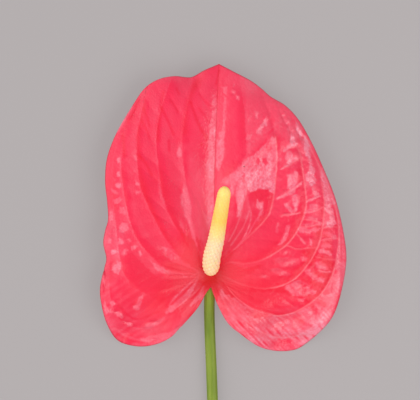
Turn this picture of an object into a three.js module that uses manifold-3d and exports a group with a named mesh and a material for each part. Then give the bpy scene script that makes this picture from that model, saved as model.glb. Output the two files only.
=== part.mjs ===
// A cut anthurium laid on its back: a round green stem, a waxy red heart-shaped spathe and a spike of florets.
// Millimetres, +Z up. The table is z = 0 and the stem runs along Y, with the bloom at its +Y end.
// The shapes are worked out about the node, the point where stem, spathe and spadix grow together.

import * as THREE from 'three';
import { mergeVertices } from 'three/addons/utils/BufferGeometryUtils.js';
import Module from 'manifold-3d';

// ---- driving dimensions -------------------------------------------------------------------------

const GAP = 0.3;                    // the pieces stay this far apart

// stem
const STEM_LENGTH = 400;            // from the cut end to the node
const STEM_RADIUS_CUT = 3.1;        // at the cut end
const STEM_RADIUS_NECK = 2.65;      // just below the bloom
const STEM_SIDES = 16;
const STEM_RINGS = 28;
const NECK_BEND = 26;               // the stem leaves the table this far before the node
const NECK_LIFT = 4;                // and has risen this much at the node
const STEM_WANDER = [[7.5, -400], [5.5, -300], [4, -180], [1, -70], [-0.8, -22], [-0.5, -6], [0, 2]];

// spathe
const BLADE_THICKNESS = 0.9;
const BLADE_CELLS = 48;             // the blade is a square net of this many cells a side
const NODE_HEIGHT = 8;              // middle of the blade above the table, at the node
const FUNNEL_RISE = 8;              // the blade climbs this much round the node
const FUNNEL_REACH = 15;
const CROWN_RISE = 2;               // further rise to the middle of the blade
const CROWN_REACH = 45;
const NODE_CALM = 25;               // edge and midrib keep still this near the node
const EDGE_ROLL = 5.5;              // the edge bends back down by this much
const EDGE_ROLL_RIGHT = 3.5;        // and by this much more on the right
const EDGE_ROLL_POWER = 6;
const LOBE_REACH = 15;
const LOBE_LOW_POINTS = [[-37, -31, 15.2], [38, -33, 12.8]];   // x, y and drop: each lobe bends to the table
const EDGE_FLUTES = [[-54, 18, 2.2, 7], [-53, 6, -2, 6], [-10, 101, -2.4, 7], [-27, 99, 1.2, 9],
  [25, 95, -1.8, 7], [37, 87, 1, 8], [62, 40, 1, 10], [66, 14, -1, 9]];   // x, y, lift and reach
const EDGE_RIPPLE = 0.5;
const EDGE_RIPPLES = 19;
const MIDRIB_DEPTH = 2.2;
const MIDRIB_REACH = 7;
const QUILT_HEIGHT = 1.5;           // the fields between the main veins stand this proud of them
const QUILT_REACH = 4.2;
const RUNGS = BLADE_CELLS * 4 / 3;  // cross veins all round the blade, on every third line of its net
const RUNG_DEPTH = 0.3;

// Edge of the blade from the notch at the stem round the left lobe to the tip, then from the notch
// round the right lobe to the tip.
const EDGE_LEFT = [[0, -5.2], [-2.8, -8.6], [-7, -15.6], [-12.6, -22], [-20.5, -30.4], [-29, -34.6],
  [-38, -35.3], [-47, -32.2], [-52.2, -23.5], [-54.8, -13], [-55.3, -5], [-53.3, 4.5], [-52.3, 9.5],
  [-53.6, 17], [-52.7, 23.5], [-51.3, 29], [-51.8, 38], [-52.8, 48], [-51.7, 60], [-46.7, 72.8], [-38.7, 86.3],
  [-33, 94.3], [-26, 98.7], [-18, 100.3], [-10, 99.9], [-3.5, 103.2], [4, 106.5]];
const EDGE_RIGHT = [[0, -5.2], [1.6, -9.5], [4.5, -16], [9, -23.4], [15, -28.5], [24, -35], [32, -37.5],
  [40, -37.5], [46, -35.3], [54.4, -28], [61.2, -19.3], [65.5, -6], [67.8, 9], [66.2, 23], [62.1, 39.5],
  [56, 55], [50, 68], [43.5, 79], [37, 85.8], [30, 90], [25.5, 94], [20, 98], [12, 102.2], [4, 106.5]];
const BLADE_HEART = [2, 18.5];      // every point of the edge is in plain sight of this one

// The midrib and the main veins, which curve from the node towards the tip, first right and then left.
const MIDRIB = [[0, 1], [1.5, 30], [2, 60], [3, 85], [4, 106]];
const VEINS = [
  [[1, 3], [7.5, 16], [13, 28], [18, 45], [19.5, 59], [17.5, 78], [14, 96]],
  [[1, 2], [14.5, 16.5], [26.5, 28.5], [32, 48.5], [32.3, 64], [29, 80], [24, 92]],
  [[1, 1], [17, 6.5], [37, 16], [46.5, 33], [46, 54], [40.5, 70], [33, 84]],
  [[1, 0], [17.5, -4.3], [29, -5.8], [44, 1], [54.8, 21], [55.4, 44], [48.5, 65], [40, 79]],
  [[1, -1], [11.8, -9], [29, -18.1], [43.3, -16.7], [56.5, -5.5], [61, 11], [61, 30]],
  [[1, -2], [9, -12.5], [17.5, -21.5], [31.8, -30.2], [46.2, -28]],
  [[-1, 3], [-6, 14], [-10, 34], [-14, 58], [-13.5, 77], [-9.5, 100]],
  [[-1, 2.5], [-9, 13], [-19.2, 28.4], [-25.5, 52], [-26.5, 73], [-20.5, 93]],
  [[-1, 2], [-14.6, 9.5], [-26, 25.5], [-34.1, 42.8], [-36.8, 63], [-35.5, 82]],
  [[-1, 1], [-15.8, 2.8], [-28.4, 9.5], [-39.3, 25.5], [-44, 50], [-43, 73]],
  [[-1, 0], [-14.6, -3.2], [-31, -7.4], [-41, -1], [-45.5, 14], [-48, 31]],
  [[-1, -2], [-11, -10], [-21.5, -19], [-34.7, -25.6], [-45, -21.5]],
];

// spadix
const SPADIX_LENGTH = 58;
const SPADIX_LEAN = 41;             // degrees above the table
const SPADIX_HEADING = 9.5;         // degrees from +Y towards +X
const SPADIX_FOOT = [-0.4, 1.4, 8.2];   // the round lower end of its axis, seated in the spathe
const SPADIX_RADIUS = 3.9;          // at the base, over the dips between the florets
const SPADIX_TAPER = 1.15;          // less at the tip
const SPADIX_BASE_DOME = 4.2;
const SPADIX_TIP_DOME = 3.6;
const FLORET_PROUD = 0.35;
const FLORET_TOP = 0.55;            // width of a floret's flat top, as a share of its base
const FLORET_STEP = 0.034;          // rise from each floret to the next, as a share of the spike's radius
const FLORET_LEAST_RADIUS = 1.1;    // the florets shrink no further than on a spike of this radius
const GOLDEN_TURN = (3 - Math.sqrt(5)) / 2;   // each floret turns on by this share of a circle
const SPIRALS = [8, 13];            // florets this many apart touch, and make the two sets of spirals

// ---- helpers ------------------------------------------------------------------------------------

const { clamp, degToRad, lerp, smoothstep } = THREE.MathUtils;
const spline = (points) => new THREE.SplineCurve(points.map(([x, y]) => new THREE.Vector2(x, y)));
const bell = (distance, reach) => Math.exp(-((distance / reach) ** 2));

function middleOf(points) {
  return points.reduce((sum, point) => sum.add(point), new THREE.Vector3()).divideScalar(points.length);
}

function geometryFrom(points, faces) {
  return new THREE.BufferGeometry().setFromPoints(points).setIndex(faces);
}

// Fans each open loop of edges shut round a point at its middle, and gives the closed geometry.
function closeEnds(points, faces) {
  const onward = new Map();
  for (let i = 0; i < faces.length; i += 3) {
    for (let k = 0; k < 3; k++) {
      const [from, to] = [faces[i + k], faces[i + (k + 1) % 3]];
      if (onward.get(to)?.delete(from)) continue;
      if (!onward.has(from)) onward.set(from, new Set());
      onward.get(from).add(to);
    }
  }
  for (const first of onward.keys()) {
    const loop = [];
    let here = first;
    while (onward.get(here)?.size) {
      const [next] = onward.get(here);
      onward.get(here).delete(next);
      loop.push(here);
      here = next;
    }
    if (!loop.length) continue;
    loop.forEach((from, k) => faces.push(loop[(k + 1) % loop.length], from, points.length));
    points.push(middleOf(loop.map((i) => points[i])));
  }
  return geometryFrom(points, faces);
}

// ---- spathe -------------------------------------------------------------------------------------

const edgeLeft = spline(EDGE_LEFT);
const edgeRight = spline(EDGE_RIGHT);
const veinPaths = VEINS.map((vein) => spline(vein).getSpacedPoints(24));
const midribPath = spline(MIDRIB).getSpacedPoints(16);

// The edge as one closed line: turn 0 is the notch, 0.5 the tip and 1 the notch again.
function edgeAt(turn) {
  return turn < 0.5 ? edgeLeft.getPointAt(turn * 2) : edgeRight.getPointAt(2 - turn * 2);
}

function distanceTo(path, x, y) {
  let nearest = Infinity;
  for (let i = 1; i < path.length; i++) {
    const { x: ax, y: ay } = path[i - 1];
    const [dx, dy] = [path[i].x - ax, path[i].y - ay];
    const along = clamp(((x - ax) * dx + (y - ay) * dy) / (dx * dx + dy * dy), 0, 1);
    nearest = Math.min(nearest, Math.hypot(x - ax - along * dx, y - ay - along * dy));
  }
  return nearest;
}

// The blade's large form: a funnel at the node, a low crown, a rolled and fluted edge and two low lobes.
function bladeForm(x, y, ring, turn) {
  const fromNode = Math.hypot(x, y);
  const stir = 1 - bell(fromNode, NODE_CALM);
  let height = NODE_HEIGHT + FUNNEL_RISE * (1 - bell(fromNode, FUNNEL_REACH));
  height += CROWN_RISE * (1 - bell(fromNode, CROWN_REACH));
  height -= (EDGE_ROLL * stir + EDGE_ROLL_RIGHT * smoothstep(x, 5, 55)) * ring ** EDGE_ROLL_POWER;
  for (const [lowX, lowY, drop] of LOBE_LOW_POINTS) {
    height -= drop * bell(Math.hypot(x - lowX, y - lowY), LOBE_REACH);
  }
  for (const [fluteX, fluteY, lift, reach] of EDGE_FLUTES) {
    height += lift * bell(Math.hypot(x - fluteX, y - fluteY), reach);
  }
  height += EDGE_RIPPLE * Math.sin(2 * Math.PI * EDGE_RIPPLES * turn) * stir * ring ** 10;
  return height - MIDRIB_DEPTH * bell(distanceTo(midribPath, x, y), MIDRIB_REACH) * stir;
}

// The quilting: fields that swell between the main veins, cut across by the rungs of the cross veins.
function bladeQuilt(x, y, ring, turn) {
  const field = 1 - bell(Math.min(...veinPaths.map((path) => distanceTo(path, x, y))), QUILT_REACH);
  const outer = smoothstep(ring, 0.35, 0.6) * (1 - smoothstep(ring, 0.93, 1)) * smoothstep(Math.abs(x), 6, 20);
  const rung = RUNG_DEPTH * Math.cos(2 * Math.PI * RUNGS * turn) * outer;
  return field * (QUILT_HEIGHT * (1 - 0.4 * ring ** 8) - rung);
}

// One point of the blade's middle, for a point of the square net from -1 to 1 both ways. ring is 0 at the
// blade's heart and 1 at its edge.
function bladePoint(across, along) {
  const ring = Math.max(Math.abs(across), Math.abs(along));
  const [a, b] = ring ? [across / ring, along / ring] : [0, -1];
  let turn = a < 0 ? 0.25 + b / 8 : 0.75 - b / 8;
  if (Math.abs(b) >= Math.abs(a)) turn = b < 0 ? (1 - a / 8) % 1 : 0.5 + a / 8;
  const edge = edgeAt(turn);
  const x = lerp(BLADE_HEART[0], edge.x, ring);
  const y = lerp(BLADE_HEART[1], edge.y, ring);
  const height = bladeForm(x, y, ring, turn) + bladeQuilt(x, y, ring, turn);
  return new THREE.Vector3(x, y, Math.max(height, BLADE_THICKNESS / 2));
}

// The net of the blade's middle: its points, their normals and its faces. The cells are split so that the
// cuts run outwards from the heart.
function bladeNet() {
  const row = BLADE_CELLS + 1;
  const points = [];
  const faces = [];
  for (let i = 0; i < row; i++) {
    for (let j = 0; j < row; j++) {
      points.push(bladePoint(2 * i / BLADE_CELLS - 1, 2 * j / BLADE_CELLS - 1));
      if (i === BLADE_CELLS || j === BLADE_CELLS) continue;
      const [here, right] = [i * row + j, (i + 1) * row + j];
      const [up, over] = [here + 1, right + 1];
      const outward = (2 * i + 1 - BLADE_CELLS) * (2 * j + 1 - BLADE_CELLS) > 0;
      faces.push(...(outward ? [here, right, over, here, over, up] : [here, right, up, right, over, up]));
    }
  }
  const surface = geometryFrom(points, faces);
  surface.computeVertexNormals();
  const normals = points.map((_, i) => new THREE.Vector3().fromBufferAttribute(surface.attributes.normal, i));
  return { points, normals, faces };
}

const net = bladeNet();
const raised = (distance) => net.points.map((point) => point.clone().setZ(point.z + distance));
const offset = (distance) => net.points.map((point, i) => point.clone().addScaledVector(net.normals[i], distance));

// The closed body between two copies of the net, split alike on both sides.
function bladeBody(lower, upper) {
  const count = lower.length;
  const row = BLADE_CELLS + 1;
  const faces = net.faces.map((index) => index + count);
  for (let i = 0; i < net.faces.length; i += 3) {
    faces.push(net.faces[i], net.faces[i + 2], net.faces[i + 1]);
  }
  const side = [...Array(BLADE_CELLS).keys()];
  const rim = [
    ...side.map((k) => k * row),
    ...side.map((k) => BLADE_CELLS * row + k),
    ...side.map((k) => (BLADE_CELLS - k) * row + BLADE_CELLS),
    ...side.map((k) => BLADE_CELLS - k),
  ];
  rim.forEach((here, k) => {
    const next = rim[(k + 1) % rim.length];
    faces.push(here, next, next + count, here, next + count, here + count);
  });
  return geometryFrom([...lower, ...upper], faces);
}

function spatheGeometry() {
  return bladeBody(offset(-BLADE_THICKNESS / 2), offset(BLADE_THICKNESS / 2));
}

// ---- spadix -------------------------------------------------------------------------------------

// Radius along the spike, from its round base at 0 to its round tip at SPADIX_LENGTH.
function spadixRadius(run) {
  const dome = (distance, length) => Math.sqrt(Math.max(0, 1 - Math.max(0, 1 - distance / length) ** 2));
  const taper = SPADIX_RADIUS - SPADIX_TAPER * (run / SPADIX_LENGTH) ** 2;
  return taper * dome(run, SPADIX_BASE_DOME) * dome(SPADIX_LENGTH - run, SPADIX_TIP_DOME);
}

// How far up the spike each floret grows: on a thinner spike they are smaller and stand closer.
function floretRuns() {
  const runs = [];
  const step = 0.02;
  let grown = 1;
  for (let run = 0.4; run < SPADIX_LENGTH; run += step) {
    if (grown >= 1) {
      runs.push(run);
      grown -= 1;
    }
    grown += step / (FLORET_STEP * Math.max(spadixRadius(run), FLORET_LEAST_RADIUS));
  }
  return runs;
}

// A spike of blunt four-sided florets, with a dip in the middle of each four of them.
function spadixGeometry() {
  const [heading, lean] = [degToRad(SPADIX_HEADING), degToRad(SPADIX_LEAN)];
  const plumb = new THREE.Vector3(0, 0, 1);
  const axis = new THREE.Vector3(0, Math.cos(lean), Math.sin(lean)).applyAxisAngle(plumb, -heading);
  const side = new THREE.Vector3(1, 0, 0).applyAxisAngle(plumb, -heading);
  const up = new THREE.Vector3().crossVectors(side, axis);
  const runs = floretRuns();
  const place = (index, turn, proud) => {
    const run = lerp(runs[Math.floor(index)], runs[Math.min(Math.ceil(index), runs.length - 1)], index % 1);
    const radius = spadixRadius(run) + proud;
    const angle = 2 * Math.PI * turn;
    return new THREE.Vector3(...SPADIX_FOOT)
      .addScaledVector(axis, run)
      .addScaledVector(side, radius * Math.cos(angle))
      .addScaledVector(up, -radius * Math.sin(angle));
  };
  // Dip i lies over floret i and under floret i + both, half a step of both spirals away from each.
  const both = SPIRALS[0] + SPIRALS[1];
  const halfTurn = (both * GOLDEN_TURN - Math.round(both * GOLDEN_TURN)) / 2;
  const points = [];
  const faces = [];
  for (let i = 0; i < runs.length - both; i++) {
    points.push(place(i + both / 2, i * GOLDEN_TURN + halfTurn, 0));
  }
  for (let i = both; i < runs.length - both; i++) {
    const dips = [i, i - SPIRALS[0], i - both, i - SPIRALS[1]];
    const middle = place(i, i * GOLDEN_TURN, 0);
    const out = place(i, i * GOLDEN_TURN, FLORET_PROUD).sub(middle);
    const top = points.length;
    for (const dip of dips) points.push(middle.clone().lerp(points[dip], FLORET_TOP).add(out));
    dips.forEach((dip, k) => {
      const next = (k + 1) % dips.length;
      faces.push(dip, dips[next], top + next, dip, top + next, top + k);
    });
    faces.push(top, top + 1, top + 2, top, top + 2, top + 3);
  }
  return closeEnds(points, faces);
}

// ---- stem ---------------------------------------------------------------------------------------

// A round stem with one facet flat on the table, up to where its neck bends up to the spathe's back.
function stemGeometry() {
  const wander = spline(STEM_WANDER);
  const points = [];
  const faces = [];
  for (let ring = 0; ring <= STEM_RINGS; ring++) {
    const { x, y } = wander.getPoint(1 - (1 - ring / STEM_RINGS) ** 1.6);
    const radius = lerp(STEM_RADIUS_CUT, STEM_RADIUS_NECK, clamp(1 + y / STEM_LENGTH, 0, 1));
    const bend = Math.max(0, 1 + y / NECK_BEND);
    const tilt = Math.atan(2 * bend * NECK_LIFT / NECK_BEND);
    const axisHeight = radius * Math.cos(Math.PI / STEM_SIDES) + NECK_LIFT * bend ** 2;
    for (let k = 0; k < STEM_SIDES; k++) {
      const angle = 2 * Math.PI * (k + 0.5) / STEM_SIDES - Math.PI / 2;
      const upward = radius * Math.sin(angle);
      points.push(new THREE.Vector3(
        x + radius * Math.cos(angle), y - upward * Math.sin(tilt), axisHeight + upward * Math.cos(tilt)));
      if (ring === STEM_RINGS) continue;
      const [here, next] = [ring * STEM_SIDES + k, ring * STEM_SIDES + (k + 1) % STEM_SIDES];
      faces.push(here, next + STEM_SIDES, next, here, here + STEM_SIDES, next + STEM_SIDES);
    }
  }
  return closeEnds(points, faces);
}

// ---- assembly -----------------------------------------------------------------------------------

const wasm = await Module();
wasm.setup();

function solidFrom(geometry) {
  const merged = mergeVertices(geometry);
  const vertProperties = new Float32Array(merged.attributes.position.array);
  return new wasm.Manifold(new wasm.Mesh({
    numProp: 3, vertProperties, triVerts: new Uint32Array(merged.index.array),
  }));
}

// The geometry less all that lies inside the cutter.
function cutBy(geometry, cutter) {
  const { vertProperties, triVerts } = solidFrom(geometry).subtract(solidFrom(cutter)).getMesh();
  const result = new THREE.BufferGeometry();
  result.setAttribute('position', new THREE.BufferAttribute(vertProperties, 3));
  return result.setIndex([...triVerts]);
}

const reach = 60;                   // the cutters go on past all that they cut
const fromBlade = BLADE_THICKNESS / 2 + GAP;
const overBlade = bladeBody(offset(-fromBlade), raised(reach));
const underBlade = bladeBody(raised(-reach), offset(fromBlade));

const bloom = new THREE.Group();

function add(name, geometry, color, roughness) {
  const mesh = new THREE.Mesh(geometry, new THREE.MeshStandardMaterial({ color, roughness, metalness: 0 }));
  mesh.name = name;
  bloom.add(mesh);
}

add('stem', cutBy(stemGeometry(), overBlade), 0x83973a, 0.45);
add('spathe', spatheGeometry(), 0xf93b53, 0.28);
add('spadix', cutBy(spadixGeometry(), underBlade), 0xfadc8c, 0.6);

// The origin is on the table, under the middle of the whole cut flower.
const box = new THREE.Box3().setFromObject(bloom);
const middle = box.getCenter(new THREE.Vector3());
bloom.position.set(-middle.x, -middle.y, -box.min.z);

const flower = new THREE.Group();
flower.add(bloom);
export default flower;
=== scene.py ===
import math

import bpy
import numpy as np
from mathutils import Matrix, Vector


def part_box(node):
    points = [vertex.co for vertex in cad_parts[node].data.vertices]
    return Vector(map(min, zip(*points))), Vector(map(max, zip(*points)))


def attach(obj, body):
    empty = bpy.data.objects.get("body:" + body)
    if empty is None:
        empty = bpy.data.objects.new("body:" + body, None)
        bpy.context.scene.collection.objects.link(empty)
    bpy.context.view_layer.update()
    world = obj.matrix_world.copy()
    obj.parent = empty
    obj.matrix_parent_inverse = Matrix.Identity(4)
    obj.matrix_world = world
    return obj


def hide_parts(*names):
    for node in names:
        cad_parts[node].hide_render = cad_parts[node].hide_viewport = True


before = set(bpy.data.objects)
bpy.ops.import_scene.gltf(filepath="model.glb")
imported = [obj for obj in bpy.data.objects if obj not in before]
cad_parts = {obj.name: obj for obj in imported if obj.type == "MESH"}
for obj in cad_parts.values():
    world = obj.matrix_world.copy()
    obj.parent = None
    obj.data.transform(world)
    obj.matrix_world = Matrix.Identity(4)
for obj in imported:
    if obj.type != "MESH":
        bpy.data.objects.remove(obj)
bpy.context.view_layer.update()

# ---- stem -----------------------------------------------------------------------------------------
# The peduncle that carried the bloom: one smooth, round, leafless green shoot of solid tissue, cut square
# at the florist's bench. It lies on the table, and its neck bends up to the back of the spathe.

STEM_LENGTH = 400.0            # millimetres, as all sizes here
STEM_RADIUS_CUT = 3.1
STEM_RADIUS_NECK = 2.65
STEM_FACET = math.pi / 16      # half the angle of the facet that the solid stem rests on
STEM_RIDGES = [(9, 0.012, 0.02), (14, 0.008, -0.013)]   # number round the stem, share of its radius, twist
STEM_WANDER = [(7.5, -400), (5.5, -300), (4, -180), (1, -70), (-0.8, -22), (-0.5, -6), (0, 2)]
STEM_RINGS, STEM_SIDES, RING_CROWDING = 420, 48, 1.25
NECK_BEND = 26.0
NECK_LIFT = 4.0
NECK_SWELL, SWELL_PLACE, SWELL_REACH = 0.25, -3.0, 7.0
NECK_TOP, NECK_TOP_FROM = 7.5, -4.5    # height that keeps it under the spathe, and where that begins
# Place and reach of the painted light on the neck, where the spathe above shades it.
NECK_LIGHT_PLACE, NECK_LIGHT_REACH = -9.0, 8.0
# The cut face: rings that shrink to its middle, where the soft core has shrunk back a little. Each has a
# share of the rim's radius and a depth.
CUT_RINGS = [(0.2, 0.2), (0.45, 0.14), (0.7, 0.06), (0.88, -0.02), (0.96, -0.12)]

DEEP_GREEN, LIGHT_GREEN = (0.128, 0.198, 0.011, 1), (0.215, 0.285, 0.027, 1)
# A paler green painted on the neck as painted light, where the spathe above shades it.
NECK_LIT_GREEN = (0.36, 0.48, 0.05, 1)
STEM_SPECK = (0.05, 0.05, 0.015, 1)
PITH_DARK, PITH_LIGHT = (0.2, 0.24, 0.07, 1), (0.5, 0.55, 0.27, 1)

stem_low, stem_high = (np.array(corner) * 1000 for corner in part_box("stem"))
# The node, where all three organs meet, is the centre that the shapes below are worked out about.
NODE = np.array([stem_high[0] - STEM_WANDER[0][0] - STEM_RADIUS_CUT * math.cos(STEM_FACET),
                 stem_low[1] + STEM_LENGTH, 0.0])


def bell(distance, reach):
    """1 at no distance, falling to 1/e at the reach: exp(-(distance/reach)^2)."""
    return np.exp(-(distance / reach) ** 2)


def spline(points, steps=12):
    """Catmull-Rom curve through the points: each stretch is the cubic whose end slopes are half the chord
    between the two neighbours, with the first and last points doubled."""
    p = np.asarray(points, float)
    p = np.vstack([p[:1], p, p[-1:]])
    t = np.linspace(0, 1, steps, endpoint=False)[:, None, None]
    before, here, after, last = p[:-3], p[1:-2], p[2:-1], p[3:]
    slope, slope_after = (after - before) / 2, (last - here) / 2
    curve = (here + slope * t + (3 * (after - here) - 2 * slope - slope_after) * t**2
             + (2 * (here - after) + slope + slope_after) * t**3)
    return np.vstack([curve.transpose(1, 0, 2).reshape(-1, p.shape[1]), p[-1]])


def evenly(line, share):
    """Points at these shares of a line's length, by linear interpolation on its running length."""
    run = np.r_[0, np.cumsum(np.linalg.norm(np.diff(line, axis=0), axis=1))]
    return np.stack([np.interp(share * run[-1], run, column) for column in line.T], -1)


def tube_faces(rings, sides):
    """Four-sided faces between neighbouring rings of a tube, each ring closed on itself."""
    ring, side = np.meshgrid(np.arange(rings - 1), np.arange(sides), indexing="ij")
    here, on = ring * sides + side, ring * sides + (side + 1) % sides
    return np.stack([here, here + sides, on + sides, on], -1).reshape(-1, 4)


def grow(name, points, faces, materials, **painted):
    """Makes a piece of the flower: points in millimetres about the node, faces, materials, and a number for
    each point under each painted name, which the materials read."""
    mesh = bpy.data.meshes.new(name)
    mesh.from_pydata(((points + NODE) / 1000).tolist(), [], faces)
    for key, numbers in painted.items():
        attribute = mesh.attributes.new(key, "FLOAT", "POINT")
        attribute.data.foreach_set("value", numbers.astype(np.float32).ravel())
    mesh.shade_smooth()
    for material in materials:
        mesh.materials.append(material)
    piece = bpy.data.objects.new(name, mesh)
    bpy.context.scene.collection.objects.link(piece)
    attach(piece, "root")
    return piece


class Finish:
    """A material whose patterns lie on the object's own coordinates. What is the same all over is set on
    the shader's own sockets."""

    def __init__(self, name, **shader_values):
        self.material = bpy.data.materials.new(name)
        self.material.use_nodes = True
        self.tree = self.material.node_tree
        self.shader = self.tree.nodes["Principled BSDF"]
        for socket, value in shader_values.items():
            self.shader.inputs[socket.replace("_", " ")].default_value = value

    def node(self, kind, output, inputs, **settings):
        """Adds a node with these settings, links or sets its inputs, and gives one of its outputs. Inputs
        and output go by name or number."""
        node = self.tree.nodes.new("ShaderNode" + kind)
        for key, value in settings.items():
            setattr(node, key, value)
        for key, value in inputs.items():
            if isinstance(value, bpy.types.NodeSocket):
                self.tree.links.new(value, node.inputs[key])
            else:
                node.inputs[key].default_value = value
        return node.outputs[output]

    def place(self):
        """The object's own coordinates."""
        return self.node("TexCoord", "Object", {})

    def painted(self, name):
        """The number painted on the mesh under this name."""
        return self.node("Attribute", "Fac", {}, attribute_name=name)

    def compute(self, operation, *values):
        """Sums and the like of numbers that vary over the surface."""
        return self.node("Math", 0, dict(enumerate(values)), operation=operation)

    def clouds(self, scale, detail, place=None):
        """Cloudy noise about 0.5, with this many clouds to a metre."""
        place = place or self.place()
        return self.node("TexNoise", "Fac", {"Vector": place, "Scale": scale, "Detail": detail})

    def cells(self, scale, feature="F1"):
        """Distance from the nearest of the seeds scattered this many to a metre, or from the edges halfway
        between them."""
        return self.node("TexVoronoi", "Distance", {"Vector": self.place(), "Scale": scale}, feature=feature)

    def over(self, share, under, colour, blend="MIX"):
        """This share of a colour laid over what is under it."""
        return self.node("Mix", 2, {0: share, 6: under, 7: colour}, data_type="RGBA", blend_type=blend)

    def ramp(self, value, first, last, *between):
        """A colour that runs from the first stop to the last, each a position and a colour."""
        colour = self.node("ValToRGB", 0, {0: value})
        stops = colour.node.color_ramp.elements
        stops[0].position, stops[0].color = first
        stops[1].position, stops[1].color = last
        for position, stop_colour in between:
            stops.new(position).color = stop_colour
        return colour

    def bump(self, height, strength, distance):
        """Normals of a surface raised by this height, in metres where it is 1."""
        return self.node("Bump", 0, {"Strength": strength, "Distance": distance, "Height": height})

    def wear(self, **outputs):
        """Links what varies over the surface to the shader."""
        for socket, output in outputs.items():
            self.tree.links.new(output, self.shader.inputs[socket.replace("_", " ")])


def stem_skin():
    """The stem's skin: rings across a path that wanders over the table, closer together near the node.
    Height of the axis is the radius, plus a parabola over the neck. The radius tapers along the length,
    swells at the neck and carries faint long ridges; the underside is pressed flat on the table."""
    share = 1 - (1 - np.linspace(0, 1, STEM_RINGS)) ** RING_CROWDING
    path = evenly(spline(STEM_WANDER), share)
    x, y = path.T[:, :, None]
    angle = np.linspace(0, 2 * np.pi, STEM_SIDES, endpoint=False)[None, :]
    radius = STEM_RADIUS_CUT + (STEM_RADIUS_NECK - STEM_RADIUS_CUT) * np.clip(1 + y / STEM_LENGTH, 0, 1)
    ridges = sum(height * np.cos(number * angle + twist * y) for number, height, twist in STEM_RIDGES)
    skin = radius * (1 + ridges) + NECK_SWELL * bell(y - SWELL_PLACE, SWELL_REACH)
    bend = np.maximum(0, 1 + y / NECK_BEND)
    tilt = np.arctan(2 * bend * NECK_LIFT / NECK_BEND)
    across, up = skin * np.cos(angle), skin * np.sin(angle)
    z = radius * math.cos(STEM_FACET) + NECK_LIFT * bend**2 + up * np.cos(tilt)
    z = np.maximum(z, 0)
    z = np.where(y > NECK_TOP_FROM, np.minimum(z, NECK_TOP), z)
    return np.stack([x + across, y - up * np.sin(tilt), z], -1)


skin_rings = stem_skin()
cut_rim = skin_rings[0]
cut_middle = cut_rim.mean(0)
cut_rings = [cut_middle + share * (cut_rim - cut_middle) + (0, depth, 0) for share, depth in CUT_RINGS]
points = np.vstack([*cut_rings, *skin_rings])
count = len(cut_rings) + STEM_RINGS
faces = tube_faces(count, STEM_SIDES).tolist()
last_ring = (count - 1) * STEM_SIDES
faces += [list(range(STEM_SIDES)), list(range(last_ring, last_ring + STEM_SIDES))[::-1]]
flesh = np.repeat(np.r_[np.ones(len(cut_rings)), np.zeros(STEM_RINGS)], STEM_SIDES)

green = Finish("green_stem", Roughness=0.5, Specular_IOR_Level=0.3, Subsurface_Weight=0.06,
               Subsurface_Radius=(0.3, 0.6, 0.1), Subsurface_Scale=0.0015)
long_grain = green.node("Mapping", 0, {"Vector": green.place(), "Scale": (1, 0.06, 1)})
streaks = green.clouds(900, 4, long_grain)
mottle = green.compute("MULTIPLY", green.clouds(60, 3), 0.7)
colour = green.ramp(green.compute("ADD", streaks, mottle), (0.55, DEEP_GREEN), (1, LIGHT_GREEN))
colour = green.over(green.compute("LESS_THAN", green.cells(75), 0.035), colour, STEM_SPECK)
# Painted light: a paler green on the neck, under the spathe's shade.
colour = green.over(green.painted("neck"), colour, NECK_LIT_GREEN)
pith = green.ramp(green.cells(1900), (0.25, PITH_DARK), (0.5, PITH_LIGHT))
colour = green.over(green.painted("flesh"), colour, pith)
green.wear(Base_Color=colour, Normal=green.bump(streaks, 0.25, 0.0002))

stem = grow("flower_stem", points, faces, [green.material], flesh=flesh,
            neck=bell(points[:, 1] - NECK_LIGHT_PLACE, NECK_LIGHT_REACH))
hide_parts("stem")

# ---- spathe ---------------------------------------------------------------------------------------
# The showy bract: one thin leathery sheet, waxy red, that grows from the node round the spadix. Its midrib
# and main veins are sunk, the fields between them swell like quilting, and its edge is waved and rolled.

BLADE_THICKNESS = 0.9
BLADE_CELLS = 276              # the upper skin is a square net of this many cells a side
BLADE_HEART = np.array([2, 18.5])      # every point of the edge is in plain sight of this one
NODE_HEIGHT = 8.0              # middle of the blade above the table, at the node
FUNNEL_RISE, FUNNEL_REACH = 8.0, 15.0
CROWN_RISE, CROWN_REACH = 2.0, 45.0
NODE_CALM = 25.0               # edge and midrib keep still this near the node
EDGE_ROLL, EDGE_ROLL_RIGHT, EDGE_ROLL_POWER = 5.5, 3.5, 6      # the right rolls further, by the second
LOBE_REACH = 15.0
LOBE_LOW_POINTS = [(-37, -31, 15.2), (38, -33, 12.8)]     # x, y and drop: each lobe bends to the table
# x, y, lift and reach of each wave in the edge
EDGE_FLUTES = [(-54, 18, 2.2, 7), (-53, 6, -2, 6), (-10, 101, -2.4, 7), (-27, 99, 1.2, 9),
               (25, 95, -1.8, 7), (37, 87, 1, 8), (62, 40, 1, 10), (66, 14, -1, 9)]
MIDRIB_DEPTH, MIDRIB_REACH = 2.2, 7.0
MIDRIB_NARROWING, GROOVE_REACH = 0.7, 3.0      # the part of the midrib's valley that is a narrow groove
MIDRIB_CREASE, MIDRIB_CREASE_WIDTH = 0.12, 0.5
CREASE_WIDTH = 1.1
CORD_HEIGHT = 0.2              # each vein stands up again as a thin cord in its crease
CORD_WIDTH, CROSS_WIDTH = 0.42, 0.32
CREST_HEIGHT, CREST_REACH = 0.5, 6.0   # the first vein on the right stands on a sharp crest, high up
RIDGE_REACH, SWELL_WIDTH = 4.5, 11     # a band this wide swells as its half says, and a narrow one less
PLEATS, FINE_PLEATS, PLEAT_DEPTH = 31, 53, 0.05           # the creases that run out of the funnel
# Waves and wrinkles all over the sheet: height, size, seed and number of sine waves.
WAVES, WRINKLES, FINE_WRINKLES = (0.04, 7, 5, 14), (0.07, 3.4, 6, 20), (0.028, 1.6, 7, 24)
SETTLING = 0.8                 # how softly the sheet comes down on the table
EDGE_ROUNDING, EDGE_THINNING = 0.5, 0.93       # this far from the edge the sheet rounds off to it
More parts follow.
